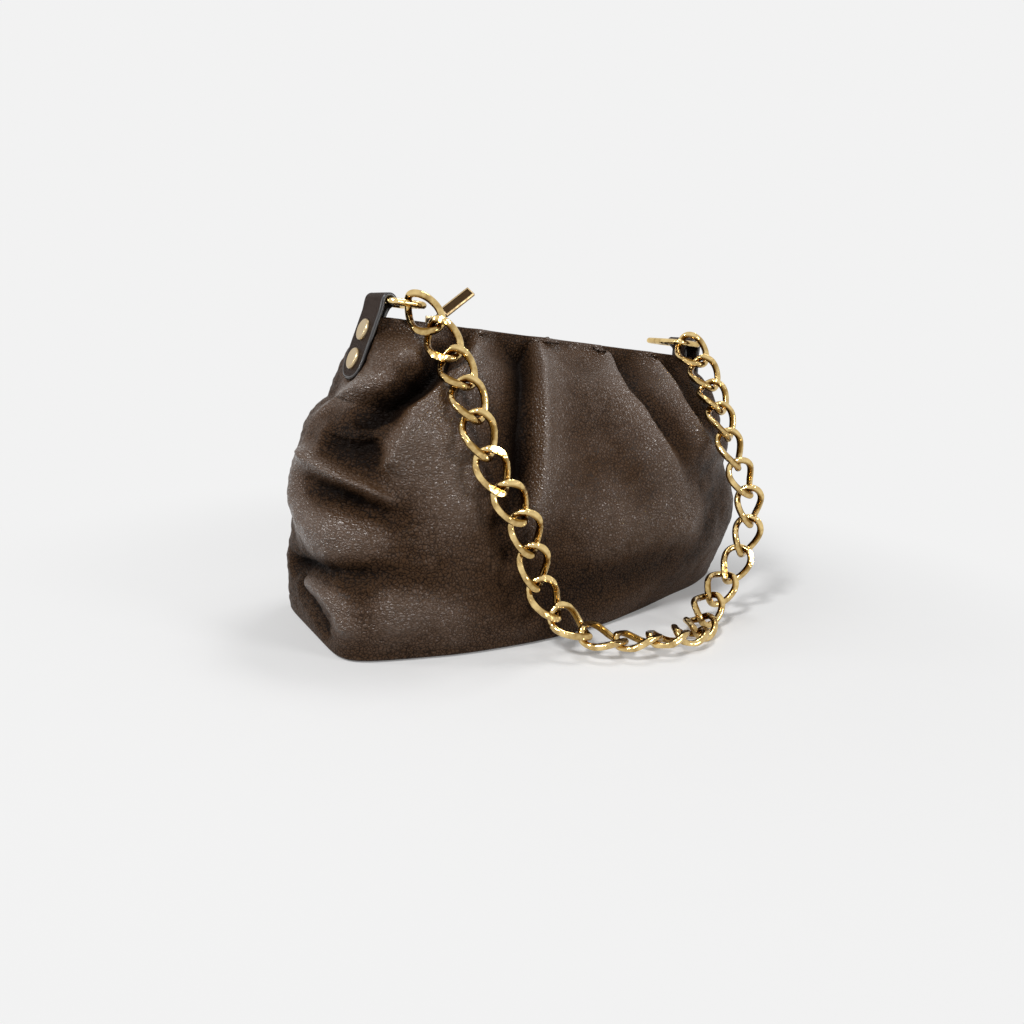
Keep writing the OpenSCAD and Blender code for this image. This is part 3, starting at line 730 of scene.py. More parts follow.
FRONT_FOLDS: tuple[FoldLine, ...] = (
    FoldLine("shoulder_roll", ((-88, -10, 156), (-90, -14, 152), (-99, -27, 146), (-108, -35, 138)),
             2.6, 12, 12, (0.0, 0.4)),
    FoldLine("tab_foot_ridge", ((-103, -38, 141), (-111, -37, 136), (-119, -33, 131), (-122, -16, 126),
                                (-127, 2, 121), (-133, 8, 113), (-139, 9, 106), (-142, 6, 99)),
             5.0, 4.2, 9, (0.25, 0.55), 1.6),
    FoldLine("nose_ridge", ((-138, 9, 106), (-142, 5, 99), (-142, -3, 96), (-140, -23, 93), (-135, -37, 89),
                            (-127, -45, 85), (-120, -51, 81), (-114, -54, 75)),
             6.6, 3.2, 6.0, (0.3, 0.25), 1.35),
    FoldLine("gather_ridge", ((-126, -45, 90), (-121, -47, 96), (-117, -49, 104), (-112, -49, 113),
                              (-107, -47, 122), (-100, -46, 127), (-90, -42, 133), (-81, -34, 140),
                              (-74, -22, 146), (-70, -14, 151)), 7.6, 3.4, 11, (0.15, 0.1), 1.35),
    FoldLine("deep_valley", ((-69, -12, 152), (-72, -17, 149), (-84, -32, 142), (-95, -39, 136),
                             (-107, -43, 130), (-118, -39, 123), (-127, -29, 118), (-133, -14, 114)),
             -9.0, 7, 8, (0.12, 0.3), 1.8),
    FoldLine("left_swell", ((-143, 10, 58), (-143, 6, 74), (-143, 2, 90), (-140, 0, 104)),
             2.8, 18, 18, (0.3, 0.45)),
    FoldLine("nose_hollow", ((-140, -8, 104), (-135, -33, 104), (-127, -43, 103), (-119, -48, 106)),
             -5.2, 8, 10, (0.2, 0.2)),
    FoldLine("under_nose_valley", ((-143, 18, 84), (-144, -4, 83), (-143, -20, 82), (-136, -38, 81),
                                   (-126, -48, 77), (-116, -54, 70), (-107, -58, 63)),
             -7.4, 5.5, 8, (0.5, 0.4), 1.6),
    FoldLine("end_roll", ((-145, 24, 56), (-146, 0, 60), (-145, -24, 63), (-136, -42, 65), (-124, -51, 65),
                          (-113, -57, 59)), 4.6, 12, 13, (0.5, 0.4)),
    FoldLine("waist_crease", ((-145, 30, 30), (-146, 10, 35), (-146, -10, 39), (-141, -41, 45),
                              (-126, -54, 46), (-107, -60, 42), (-86, -62, 35)),
             -6.0, 4.5, 6, (0.1, 0.7), 1.4),
    FoldLine("corner_ridge", ((-146, 4, 31), (-146, -14, 33), (-144, -33, 33), (-141, -42, 28),
                              (-138, -46, 20), (-136, -47, 10)), 3.6, 6, 7, (0.2, 0.15), 1.7),
    FoldLine("corner_crease", ((-145, 16, 24), (-145, -4, 20), (-144, -19, 14), (-143, -33, 7)),
             -3.4, 6, 6, (0.2, 0.1)),
    FoldLine("lower_roll", ((-134, -50, 28), (-121, -55, 27), (-103, -58, 25), (-77, -58, 20)), 2.4, 12, 12),
    FoldLine("mid_swell", ((-92, -46, 127), (-93, -54, 109), (-91, -58, 90), (-87, -62, 71), (-82, -64, 52)),
             2.8, 17, 14, (0.3, 0.4)),
    FoldLine("first_pleat", ((-52, -9, 161), (-53, -9, 157), (-56, -12, 151), (-66, -26, 144), (-76, -37, 137),
                             (-82, -45, 127)), 4.6, 9, 3.2, (0.0, 0.5), 1.5),
    FoldLine("first_pleat_crease", ((-60, -9, 162), (-60, -9, 157), (-64, -14, 150), (-74, -28, 143),
                                    (-83, -38, 137)), -4.0, 4, 6, (0.0, 0.4), 1.7),
    FoldLine("long_pleat", ((-13, -9, 161), (-14, -9, 155), (-17, -11, 150), (-28, -32, 138), (-35, -45, 127),
                            (-41, -56, 111), (-44, -61, 96), (-47, -64, 81), (-51, -65, 68), (-57, -66, 57)),
             5.8, 13, 2.6, (0.0, 0.3), 1.5),
    FoldLine("long_pleat_crease", ((-22, -9, 161), (-22, -9, 156), (-23, -11, 150), (-34, -33, 138),
                                   (-42, -47, 127), (-48, -57, 112), (-51, -61, 97), (-55, -64, 83),
                                   (-60, -66, 69), (-64, -66, 55)), -6.0, 3.6, 9, (0.0, 0.35), 1.6),
    FoldLine("pucker", ((-69, -65, 77), (-65, -66, 64), (-61, -66, 53), (-56, -65, 44)), -2.2, 4, 4),
    FoldLine("wide_pleat", ((30, -9, 161), (30, -10, 154), (36, -13, 145), (28, -35, 133), (31, -44, 125),
                            (37, -53, 113), (47, -59, 99), (60, -60, 84), (74, -57, 68)),
             3.4, 2.6, 15, (0.0, 0.5), 1.5),
    FoldLine("wide_pleat_crease", ((38, -9, 160), (38, -10, 154), (43, -12, 146), (36, -34, 134),
                                   (38, -43, 126), (45, -52, 115), (56, -58, 100), (72, -56, 82)),
             -3.6, 9, 3.6, (0.0, 0.5), 1.7),
    FoldLine("end_pleat", ((70, -9, 157), (70, -9, 151), (72, -10, 146), (72, -20, 138), (69, -35, 130),
                           (71, -46, 118), (82, -52, 103), (104, -44, 86)), 3.4, 2.6, 8, (0.0, 0.4), 1.5),
    FoldLine("end_pleat_crease", ((79, -9, 156), (79, -9, 151), (81, -10, 146), (82, -18, 138),
                                  (78, -34, 130), (80, -45, 119), (91, -50, 103)),
             -3.8, 8, 4, (0.0, 0.4), 1.7),
    FoldLine("belly", ((-31, -65, 71), (-5, -67, 66), (25, -65, 62), (59, -62, 59), (94, -53, 58)),
             1.6, 18, 18),
    FoldLine("under_belly", ((-80, -62, 30), (-44, -61, 27), (2, -62, 27), (47, -60, 30), (91, -53, 33)),
             -2.2, 13, 11),
)


def back_line(name: str, places: Sequence[tuple[float, float]], rise: float, near: float, far: float,
              fade: tuple[float, float] = (0.0, 0.4)) -> FoldLine:
    """Makes a fold on the back, whose y comes from the surface.

    Args:
        name: the fold's name.
        places: its (x, z) places.
        rise: its height, negative for a valley.
        near: its width on the right of a line drawn downwards, seen from behind, and below a line
            drawn towards +X.
        far: its width on the other side.
        fade: the share of its length over which each end runs out.

    Returns:
        The fold.
    """
    points = tuple((x, BODY.depth_at(Side.BACK, x, z), z) for x, z in places)
    return FoldLine(name, points, rise, near, far, fade, 1.8)


@dataclass(frozen=True)
class BodyForm:
    """The soft body's form: the reaches and outlines of the part's source."""

    height: float = 156.0
    base_left: float = 143.0
    base_right: float = 147.0
    base_half_depth: float = 51.0
    bulge_left: float = 146.0
    bulge_right: float = 152.0
    bulge_front: float = 66.0
    bulge_back: float = 58.0
    mouth_half_depth: float = 9.0
    panel: float = 2.0
    base: float = 2.4
    tab_foot: float = 0.74
    left_shares: tuple = ((0, 1, 0, 0), (0.12, 0.4, 0.6, 0), (0.25, 0, 1, 0), (0.44, 0, 1, 0),
                          (0.52, 0, 0.93, 0.07), (0.59, 0, 0.8, 0.2), (0.66, 0, 0.62, 0.38),
                          (0.7, 0, 0.36, 0.64), (0.74, 0, 0, 1))
    right_shares: tuple = ((0, 1, 0, 0), (0.14, 0.5, 0.5, 0), (0.28, 0, 1, 0), (0.36, 0, 0.97, 0.03),
                           (0.46, 0, 0.83, 0.17), (0.56, 0, 0.62, 0.38), (0.65, 0, 0.37, 0.63),
                           (0.7, 0, 0.14, 0.86), (0.74, 0, 0, 1))
    depth_shares: tuple = ((0, 1, 0, 0), (0.15, 0.4, 0.6, 0), (0.32, 0, 1, 0), (0.5, 0, 0.98, 0.02),
                           (0.64, 0, 0.88, 0.12), (0.77, 0, 0.69, 0.31), (0.88, 0, 0.395, 0.605),
                           (0.93, 0, 0.16, 0.84), (0.96, 0, 0.04, 0.96), (0.985, 0, 0, 1), (1, 0, 0, 1))
    left_square: tuple = ((0, 8), (0.2, 5), (0.45, 3.2), (0.6, 3.4), (0.74, 6), (0.88, 12), (0.955, 22),
                          (1, 24))
    right_square: tuple = ((0, 2.1), (0.45, 2.1), (0.6, 2.6), (0.74, 6), (0.88, 12), (0.955, 22), (1, 24))

    def end_line(self, end: End, v: Points) -> Points:
        """Reach of the end leather along the line of the tab's legs."""
        e, tilt = end.value, math.radians(MOUTH.tilt)
        slope = math.radians(TAB_SLOPE[end] - e * MOUTH.tilt)
        tall = self.base + v * (self.height - self.base - e * MOUTH.half_length * math.tan(tilt))
        return (e * MOUTH.shift + MOUTH.bar_x * math.cos(tilt) + self.panel / 2 / math.cos(slope)
                + (MOUTH.axis_height - e * MOUTH.bar_x * math.sin(tilt) - tall) * math.tan(slope))

    def end_reach(self, end: End, v: Points) -> Points:
        """Reach of an end at the height shares v."""
        rows = self.left_shares if end is End.LEFT else self.right_shares
        reaches = ((self.base_left, self.bulge_left) if end is End.LEFT
                   else (self.base_right, self.bulge_right))
        mixed = Profile(tuple((r[0], r[1] * reaches[0] + r[2] * reaches[1]
                               + r[3] * float(self.end_line(end, self.tab_foot))) for r in rows))
        return np.where(v >= self.tab_foot, self.end_line(end, v), mixed(np.minimum(v, self.tab_foot)))

    def outline(self, side: Side, v: float, inset: float = 0.0, end_inset: float = 0.0,
                samples: int = 900) -> Points:
        """Draws one level outline of a side.

        Args:
            side: front or back.
            v: the height share.
            inset: distance inside the surface across the bag.
            end_inset: distance inside the surface at the ends.
            samples: half the number of steps.

        Returns:
            The (x, y) points, from the left seam to the right one.
        """
        u = np.linspace(-1, 1, 2 * samples + 1)
        sn = np.abs(np.sin(u * np.pi / 2))
        square = np.where(u < 0, Profile(self.left_square)(v), Profile(self.right_square)(v))
        across = np.maximum(1 - sn ** square, 0) ** (1 / square)
        reach = np.where(u < 0, self.end_reach(End.LEFT, v), self.end_reach(End.RIGHT, v)) - end_inset
        bulge = self.bulge_front if side is Side.FRONT else self.bulge_back
        deep = Profile(tuple((r[0], r[1] * self.base_half_depth + r[2] * bulge + r[3] * self.mouth_half_depth)
                             for r in self.depth_shares))(v)
        return np.stack([np.sign(u) * reach * sn, -side.value * (deep - inset) * across], -1)

    def row(self, side: Side, v: float, count: int, inset: float = 0.0, end_inset: float = 0.0) -> Points:
        """A row of evenly spaced points of one side at the height share v."""
        flat = self.outline(side, v, inset, end_inset)
        run = np.concatenate([[0], np.cumsum(np.linalg.norm(np.diff(flat, axis=0), axis=1))])
        at = np.linspace(0, run[-1], count)
        x, y = np.interp(at, run, flat[:, 0]), np.interp(at, run, flat[:, 1])
        lean = np.clip(x - MOUTH.shift, -MOUTH.half_length, MOUTH.half_length) * math.tan(
            math.radians(MOUTH.tilt))
        return np.stack([x, y, self.base + v * (self.height - self.base - lean)], -1)

    def ring(self, v: float, count: int, inset: float = 0.0, end_inset: float = 0.0) -> Points:
        """A closed row: along the front to the right seam, and back along the back."""
        front = self.row(Side.FRONT, v, count + 1, inset, end_inset)
        back = self.row(Side.BACK, v, count + 1, inset, end_inset)
        return np.vstack([front[:-1], back[:0:-1]])

    def depth_at(self, side: Side, x: float, z: float) -> float:
        """The surface's y at a place of one side."""
        lean = float(np.clip(x - MOUTH.shift, -MOUTH.half_length, MOUTH.half_length))
        v = (z - self.base) / (self.height - self.base - lean * math.tan(math.radians(MOUTH.tilt)))
        flat = self.outline(side, min(max(v, 0.0), 1.0))
        return float(np.interp(x, flat[:, 0], flat[:, 1]))


BODY = BodyForm()


@dataclass
class LeatherBody:
    """The gathered leather: front and back panels on the stitched base."""

    rows: int = 200
    cols: int = 310
    lip_rows: int = 12
    chain_room: float = 0.9
    tab_room: float = 0.3
    zip_reach: float = 14.0
    link_reach: float = 12.0
    tab_reach: float = 14.0
    slack_size: float = 26.0
    slack_rise: float = 1.1
    ripple_scale: tuple[float, float, float] = (0.16, 0.16, 0.34)
    ridge_mark: float = 5.0
    valley_mark: float = 8.0
    foot_share: float = 0.05
    fold_gain: float = 1.45
    hem_rows: tuple = ((0.12, 4.2), (0.28, 2.6), (0.75, 1.3), (1.5, 0.45))
    sag_along: tuple = ((-150, 4), (-125, 6), (-106, 9), (-88, 12.5), (-70, 14.5), (-45, 15.5), (0, 12),
                        (40, 3), (80, -5), (110, -6), (150, -6))
    right_tuck: float = 2.5
    sag_up: tuple = ((0, 1), (0.06, 0.8), (0.15, 0.42), (0.32, 0), (1, 0))
    outer: Optional[Points] = field(default=None, repr=False)
    sunk: Optional[Points] = field(default=None, repr=False)
    normals: Optional[Points] = field(default=None, repr=False)
    marks: dict[str, Points] = field(default_factory=dict, repr=False)

    def grid(self) -> tuple[Points, Points]:
        """The smooth body before it is folded.

        Returns:
            Its rings of points and their outward normals, as (rows, 2 cols, 3) arrays.
        """
        shares = np.linspace(0, 1, self.rows)
        rings = np.stack([self.sagged(BODY.ring(v, self.cols), v) for v in shares])
        return rings, self.facing(rings)

    def sagged(self, ring: Points, v: float) -> Points:
        """A ring whose front lies out on the floor, and tucks in a little at the right corner."""
        out = ring.copy()
        front = np.clip(-ring[:, 1] / 30, 0, 1)
        up = float(Profile(self.sag_up)(v))
        out[:, 1] -= Profile(self.sag_along)(ring[:, 0]) * up * smooth_step(front)
        out[:, 0] -= self.right_tuck * up * smooth_step((ring[:, 0] - 80) / 60)
        return out

    @staticmethod
    def facing(rings: Points) -> Points:
        """Outward normals of a grid of closed rings."""
        across = np.roll(rings, -1, 1) - np.roll(rings, 1, 1)
        upward = np.gradient(rings, axis=0)
        return unit(np.cross(across, upward))

    @staticmethod
    def gap_to(points: Points, names: Sequence[str], reach: float) -> Points:
        """Measures the distance from points to the nearest of some CAD nodes.

        Args:
            points: the points.
            names: the nodes.
            reach: the largest distance that is told apart.

        Returns:
            A distance for each point, in millimetres, at most the reach.
        """
        trees = []
        for name in names:
            mesh = frame["nodes"][name].data
            trees.append(BVHTree.FromPolygons([v.co for v in mesh.vertices],
                                              [tuple(p.vertices) for p in mesh.polygons]))
        boxes = [(np.array(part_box(n)[0]) / MM - reach, np.array(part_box(n)[1]) / MM + reach) for n in names]
        found = np.full(len(points), reach)
        for tree, (low, high) in zip(trees, boxes):
            for i in np.nonzero(((points > low) & (points < high)).all(1))[0]:
                hit = tree.find_nearest(Vector(points[i] * MM), reach * MM)
                if hit[3] is not None:
                    found[i] = min(found[i], hit[3] / MM)
        return found

    def folded(self) -> None:
        """Pushes the folds, pleats and slack of the leather into the smooth body."""
        rings, normals = self.grid()
        flat, face = rings.reshape(-1, 3), normals.reshape(-1, 3)
        back = (
            back_line("back_gather_1", ((-66, 158), (-68, 140), (-78, 112), (-92, 84), (-98, 60)), 3.6, 6, 11),
            back_line("back_crease_1", ((-58, 158), (-60, 138), (-68, 112), (-80, 86)), -3.6, 6, 6),
            back_line("back_gather_2", ((-22, 157), (-24, 134), (-29, 106), (-33, 76), (-34, 52)), 3.8, 10, 5),
            back_line("back_crease_2", ((-31, 157), (-33, 134), (-39, 106), (-44, 80)), -4.0, 5, 7),
            back_line("back_gather_3", ((24, 153), (28, 128), (40, 100), (52, 74)), 3.2, 5, 11),
            back_line("back_crease_3", ((33, 152), (38, 128), (51, 102), (66, 80)), -3.6, 8, 5),
            back_line("back_gather_4", ((64, 150), (70, 126), (86, 98), (104, 76)), 3.0, 5, 9),
            back_line("back_crease_4", ((73, 149), (80, 126), (97, 100)), -3.2, 7, 5),
            back_line("back_waist", ((-138, 44), (-112, 46), (-80, 40), (-48, 34)), -3.4, 7, 7, (0.25, 0.5)),
            back_line("back_roll", ((-136, 62), (-112, 64), (-84, 58)), 2.6, 11, 11, (0.3, 0.5)),
            back_line("back_belly", ((-40, 52), (0, 50), (45, 48), (90, 46)), 1.6, 18, 18, (0.3, 0.3)),
            back_line("right_end_crease", ((146, 66), (136, 60), (118, 52), (94, 44)), -2.8, 6, 8, (0.3, 0.5)),
        )
        push = self.fold_gain * sum(line.push(flat, face) for line in FRONT_FOLDS + back)
        slack = np.array([noise.fractal(Vector(p) / self.slack_size, 0.9, 2.0, 3) for p in flat])
        sx, sy, sz = self.ripple_scale
        ripple = np.array([noise.noise(Vector((p[0] * sx, p[1] * sy, p[2] * sz))) for p in flat])
        left = smooth_step((-60 - flat[:, 0]) / 60)
        sunk = smooth_step(-push / 4.0)
        push = push + self.slack_rise * slack + ripple * (0.2 + 0.3 * left + 0.8 * left * sunk)
        share = np.repeat(np.linspace(0, 1, self.rows), 2 * self.cols)
        push = push * smooth_step(share / self.foot_share)
        links = [n for n in frame["nodes"] if n.startswith("chain_link") or n.endswith("_ring")]
        room = self.gap_to(flat, links, self.link_reach)
        push = np.where(push > 0, np.minimum(push, np.maximum(room - self.chain_room, 0)), push)
        tabs = [n for n in frame["nodes"] if n.endswith("_tab") or n.endswith("_rivet_caps")]
        room = np.maximum(self.gap_to(flat, tabs, self.tab_reach) - self.tab_room, 0)
        push = np.clip(push, -room * 0.9, np.where(room < 13.6, room * 0.9, 99))
        zips = [n for n in frame["nodes"] if n.startswith(("zip_facing", "zip_tape"))]
        gap = self.gap_to(flat, zips, self.zip_reach)
        push = np.where(gap < self.zip_reach, np.maximum(push, -np.maximum(gap - BODY.panel - 0.1, 0)), push)
        moved_out = flat + push[:, None] * face
        moved_out[:, 2] = np.maximum(moved_out[:, 2], 0.2)
        self.outer = moved_out.reshape(rings.shape)
        self.sunk = np.minimum(push, 0).reshape(rings.shape[:2])
        self.normals = self.facing(self.outer)
        # The fold mark paints a highlight colour on the ridges and shade into the valleys of the leather, besides
        # setting its gloss.
        self.marks["fold"] = np.clip(np.where(push > 0, push / self.ridge_mark, push / self.valley_mark), -1, 1)
        steep = np.abs(push) / self.ridge_mark
        drawn = 0.15 + 0.85 * left * smooth_step(steep) + 0.5 * smooth_step(steep - 0.4)
        self.marks["crease"] = np.clip(drawn, 0, 1) * smooth_step((0.97 - share) / 0.1)

    def depth_of_valleys(self, shares: Points, cols: int) -> Points:
        """The deepest fold near each point of a coarser grid, as positive millimetres."""
        sunk = self.sunk.copy()
        for _ in range(9):
            sunk = np.minimum.reduce([sunk, np.roll(sunk, 1, 1), np.roll(sunk, -1, 1),
                                      np.vstack([sunk[1:], sunk[-1:]]), np.vstack([sunk[:1], sunk[:-1]])])
        i = np.round(shares * (self.rows - 1)).astype(int)
        j = np.round(np.arange(2 * cols) * self.cols / cols).astype(int) % (2 * self.cols)
        return -sunk[i][:, j]

    def lip(self) -> tuple[Points, Points]:
        """The turned-in top edge: a rounded rim and the inner face below it."""
        top, n = self.outer[-1], self.normals[-1].copy()
        n[:, 2] = 0
        n = unit(n)
        up = np.array([0, 0, 1.0])
        half = BODY.panel / 2
        rim = [top - n * half * (1 - math.cos(a)) + up * half * math.sin(a)
               for a in np.linspace(0, math.pi, 7)[1:]]
        inner = [self.outer[-1 - k] - unit(self.normals[-1 - k] * np.array([1, 1, 0.2])) * BODY.panel
                 for k in range(1, self.lip_rows + 1)]
        grid = np.stack(rim + inner)
        return grid, self.facing(grid)

    def hem(self) -> tuple[Points, Points]:
        """The leather's lowest rows, rolled under the base."""
        rows = []
        for z, inset in self.hem_rows:
            ring = self.sagged(BODY.ring(0.0, self.cols, inset, inset), 0.0)
            ring[:, 2] = z
            rows.append(ring)
        grid = np.stack(rows)
        return grid, self.facing(np.concatenate([grid, self.outer[:2]]))[:-2]

    def panel(self, side: Side) -> bpy.types.Object:
        """One leather panel with its turned edges."""
        lip, lip_normals = self.lip()
        hem, hem_normals = self.hem()
        grid = np.concatenate([hem, self.outer, lip])
        facing = np.concatenate([hem_normals, self.normals, lip_normals])
        n = self.cols
        take = np.arange(0, n + 1) if side is Side.FRONT else np.arange(n, 2 * n + 1) % (2 * n)
        piece = make_piece(f"{side.name.lower()}_leather", grid[:, take], sheet_faces(len(grid), n + 1))
        piece.data.normals_split_custom_set_from_vertices(facing[:, take].reshape(-1, 3).tolist())
        for name, values in self.marks.items():
            rings = values.reshape(self.rows, -1)
            rings = np.vstack([np.repeat(rings[:1], len(hem), 0), rings,
                               np.repeat(rings[-1:], len(lip), 0) * 0.4])
            set_mark(piece, name, rings[:, take])
        return settle(piece, LEATHER, "bag", [f"{side.name.lower()}_panel"])

    def base(self) -> bpy.types.Object:
        """The base leather: a slab with a rounded edge inside the rolled hem."""
        count = self.cols
        edge = [(2.3, 2.6), (1.9, 2.4), (1.5, 2.4), (0.9, 2.6), (0.5, 3.0), (0.15, 3.8), (0.0, 5.0)]
        loops = []
        for z, inset in edge:
            ring = self.sagged(BODY.ring(0.0, count, inset, inset), 0.0)
            ring[:, 2] = z
            loops.append(ring)
        for share in (0.9, 0.7, 0.45, 0.2, 0.02):
            ring = loops[6] * np.array([share, share, 1.0])
            ring[:, 2] = 0.35 * (1 - share)
            loops.append(ring)
        points, faces = stacked(loops, (False, True))
        piece = make_piece("base_leather_panel", points, [f[::-1] for f in faces], sharp=50)
        return settle(piece, BASE_LEATHER, "bag", ["base_panel"])

    def build(self) -> None:
        """Builds and dresses the body."""
        self.folded()
        self.panel(Side.FRONT)
        self.panel(Side.BACK)
        self.base()


@dataclass
class Lining:
    """The textile tub inside, loose between the panels and the base."""

    inset: float = 3.4
    end_inset: float = 9.2
    foot: float = 4.8
    top: float = 151.5
    rows: int = 60
    cols: int = 120
    cloth: float = 0.8

    def build(self, body: LeatherBody) -> None:
        """Builds and dresses the lining and the board under it."""
        shares = np.linspace((self.foot - BODY.base) / (BODY.height - BODY.base),
                             (self.top - BODY.base) / (BODY.height - BODY.base), self.rows)
        rings = np.stack([body.sagged(BODY.ring(v, self.cols, self.inset, self.end_inset), v)
                          for v in shares])
        inward = -LeatherBody.facing(rings)
        sag = np.array([noise.noise(Vector(p) / 17.0) + 1 for p in rings.reshape(-1, 3)])
        depth = 0.9 * sag.reshape(rings.shape[:2]) * np.sin(np.pi * (shares - shares[0])
                                                            / (shares[-1] - shares[0]))[:, None]
        depth = depth + body.depth_of_valleys(shares, self.cols)
        rings = rings + inward * depth[..., None]
        rings[..., 2] = np.maximum(rings[..., 2], self.foot)
        floor = [rings[0] * np.array([s, s, 1.0]) for s in (0.03, 0.5, 0.9)]
        points, faces = stacked([*floor, *rings], (True, False))
        piece = make_piece("lining_cloth_tub", points, faces)
        thick = piece.modifiers.new("cloth", "SOLIDIFY")
        thick.thickness, thick.offset = self.cloth * MM * 0.9, -1.0
        settle(piece, LINING_CLOTH, "bag", ["lining"])
        BOARD.dress(frame["nodes"]["base_board"])


# --------------------------------------------------------------------------- tabs, rivets and rings


@dataclass
class TabStrip:
    """A leather strip folded over the ring's bar, with painted edges."""

    end: End
    width: float = 24.0
    inner_width: float = 12.2
    thick: float = 2.0
    outer_leg: float = 43.0
    inner_leg: float = 40.0
    leg_x: float = 2.45
    fold_x: float = 3.1
    flare: float = 7.0
    squareness: float = 2.5

    def middle(self) -> Points:
        """The strip's middle line, from the outer leg's foot over the ring to the inner leg's foot."""
        legs = np.linspace(0, 1, 60)
        out_z = -self.outer_leg * (1 - legs)
        in_z = -self.inner_leg * legs

        def flare(z: Points) -> Points:
            """A leg's distance from the tab's middle plane."""
            return self.leg_x + (self.fold_x - self.leg_x) * smooth_step((z + self.flare) / self.flare)

        arc = np.linspace(0, np.pi, 26)[1:-1]
        return np.vstack([np.stack([-flare(out_z), out_z], -1),
                          np.stack([-self.fold_x * np.cos(arc), self.fold_x * np.sin(arc)], -1),
                          np.stack([flare(in_z), in_z], -1)])

    def bent(self, flat: Points) -> Points:
        """Bends flat points (length, across, out) round the ring, in the tab's frame."""
        path = self.middle()
        run = np.concatenate([[0], np.cumsum(np.linalg.norm(np.diff(path, axis=0), axis=1))])
        step = 0.25
        at = np.clip(flat[:, 0], 0, run[-1])

        def place(s: Points) -> Points:
            """Points of the middle line at the lengths s."""
            return np.stack([np.interp(s, run, path[:, 0]), np.interp(s, run, path[:, 1])], -1)

        mid = place(at)
        along = unit(place(np.minimum(at + step, run[-1])) - place(np.maximum(at - step, 0)))
        out = np.stack([-along[:, 1], along[:, 0]], -1)
        beyond = (flat[:, 0] - at)[:, None] * along
        bent = mid + out * flat[:, 2:3] + beyond
        return np.stack([bent[:, 0], flat[:, 1], bent[:, 1]], -1)

    def length(self) -> float:
        """The strip's flat length."""
        return float(np.linalg.norm(np.diff(self.middle(), axis=0), axis=1).sum())

    def half_width(self, at: Points) -> Points:
        """Half the strip's width along its length."""
        wide, slim, total = self.width / 2, self.inner_width / 2, self.length()
        neck = self.outer_leg + math.pi * self.fold_x
        body = wide + (slim - wide) * smooth_step((at - neck + 1.5) / 5.0)
        foot = np.clip(1 - at / wide, 0, 1)
        toe = np.clip(1 - (total - at) / slim, 0, 1)

        def round_off(s: Points) -> Points:
            """A rounded end's share of the full width."""
            return (1 - s ** self.squareness) ** (1 / self.squareness)

        return body * round_off(foot) * round_off(toe)

    def outline(self) -> Points:
        """The strip's flat outline, as (length, across) points."""
        total = self.length()
        ends = 1 - np.cos(np.linspace(0, np.pi / 2, 22))
        at = np.unique(np.concatenate([ends * self.width / 2, np.linspace(self.width / 2, total - 8, 90),
                                       total - ends * self.inner_width / 2]))
        at = at[np.concatenate([[True], np.diff(at) > 1e-3])]
        half = self.half_width(at)
        return np.vstack([np.stack([at, half], -1), np.stack([at, -half], -1)[-2:0:-1]])

    def put(self, flat: Points) -> Points:
        """Flat points in the bag's frame."""
        return MOUTH.tab(self.bent(flat), self.end, TAB_SLOPE[self.end])

    def faces_piece(self) -> bpy.types.Object:
        """The strip's two leather faces."""
        at = np.linspace(0.5, self.length() - 0.5, 150)
        across = np.linspace(-1, 1, 21)
        half = np.maximum(self.half_width(at) - 0.5, 0.02)
        length, share = np.meshgrid(at, across, indexing="ij")
        y = share * half[:, None]
        crown = 1 - np.abs(share) ** 6
        grids = []
        for face in (1, -1):
            out = face * (self.thick / 2 - 0.1 + 0.1 * crown)
            grids.append(self.put(np.stack([length, y, out], -1).reshape(-1, 3)))
        count = len(grids[0])
        faces = sheet_faces(len(at), len(across), flip=self.end is End.RIGHT)
        under = sheet_faces(len(at), len(across), flip=self.end is End.LEFT)
        faces = [f[::-1] for f in faces] + [tuple(i + count for i in f[::-1]) for f in under]
        piece = make_piece(f"{self.end.name.lower()}_tab_leather", np.vstack(grids), faces)
        return settle(piece, STRAP_LEATHER, "bag", [f"{self.end.name.lower()}_tab"])

    def edge_piece(self) -> bpy.types.Object:
        """The painted bead round the strip's edge."""
        outline = self.outline()
        ahead, behind = np.roll(outline, -1, 0), np.roll(outline, 1, 0)
        along = unit(ahead - behind)
        inward = np.stack([along[:, 1], -along[:, 0]], -1)
        centre = np.stack([outline[:, 0], np.zeros(len(outline))], -1)
        flip = np.sign((inward * (centre - outline)).sum(1) + 1e-9)[:, None]
        inward = np.where(np.abs(outline[:, 1:2]) > 0.3, inward * flip, inward)
        half = self.thick / 2
        section = [(1.15, half + 0.02), (0.8, half + 0.05), (0.35, half - 0.12), (0.05, half * 0.55),
                   (0.0, 0.0), (0.05, -half * 0.55), (0.35, -half + 0.12), (0.8, -half - 0.05), (1.15, -half - 0.02)]
        loops = [self.put(np.column_stack([outline + inward * inset, np.full(len(outline), out)]))
                 for inset, out in section]
        points, faces = stacked(loops, (False, False))
        if self.end is End.LEFT:
            faces = [f[::-1] for f in faces]
        piece = make_piece(f"{self.end.name.lower()}_tab_painted_edge", points, faces)
        return settle(piece, EDGE_PAINT)

    def build(self) -> None:
        """Builds and dresses the tab."""
        self.faces_piece()
        self.edge_piece()


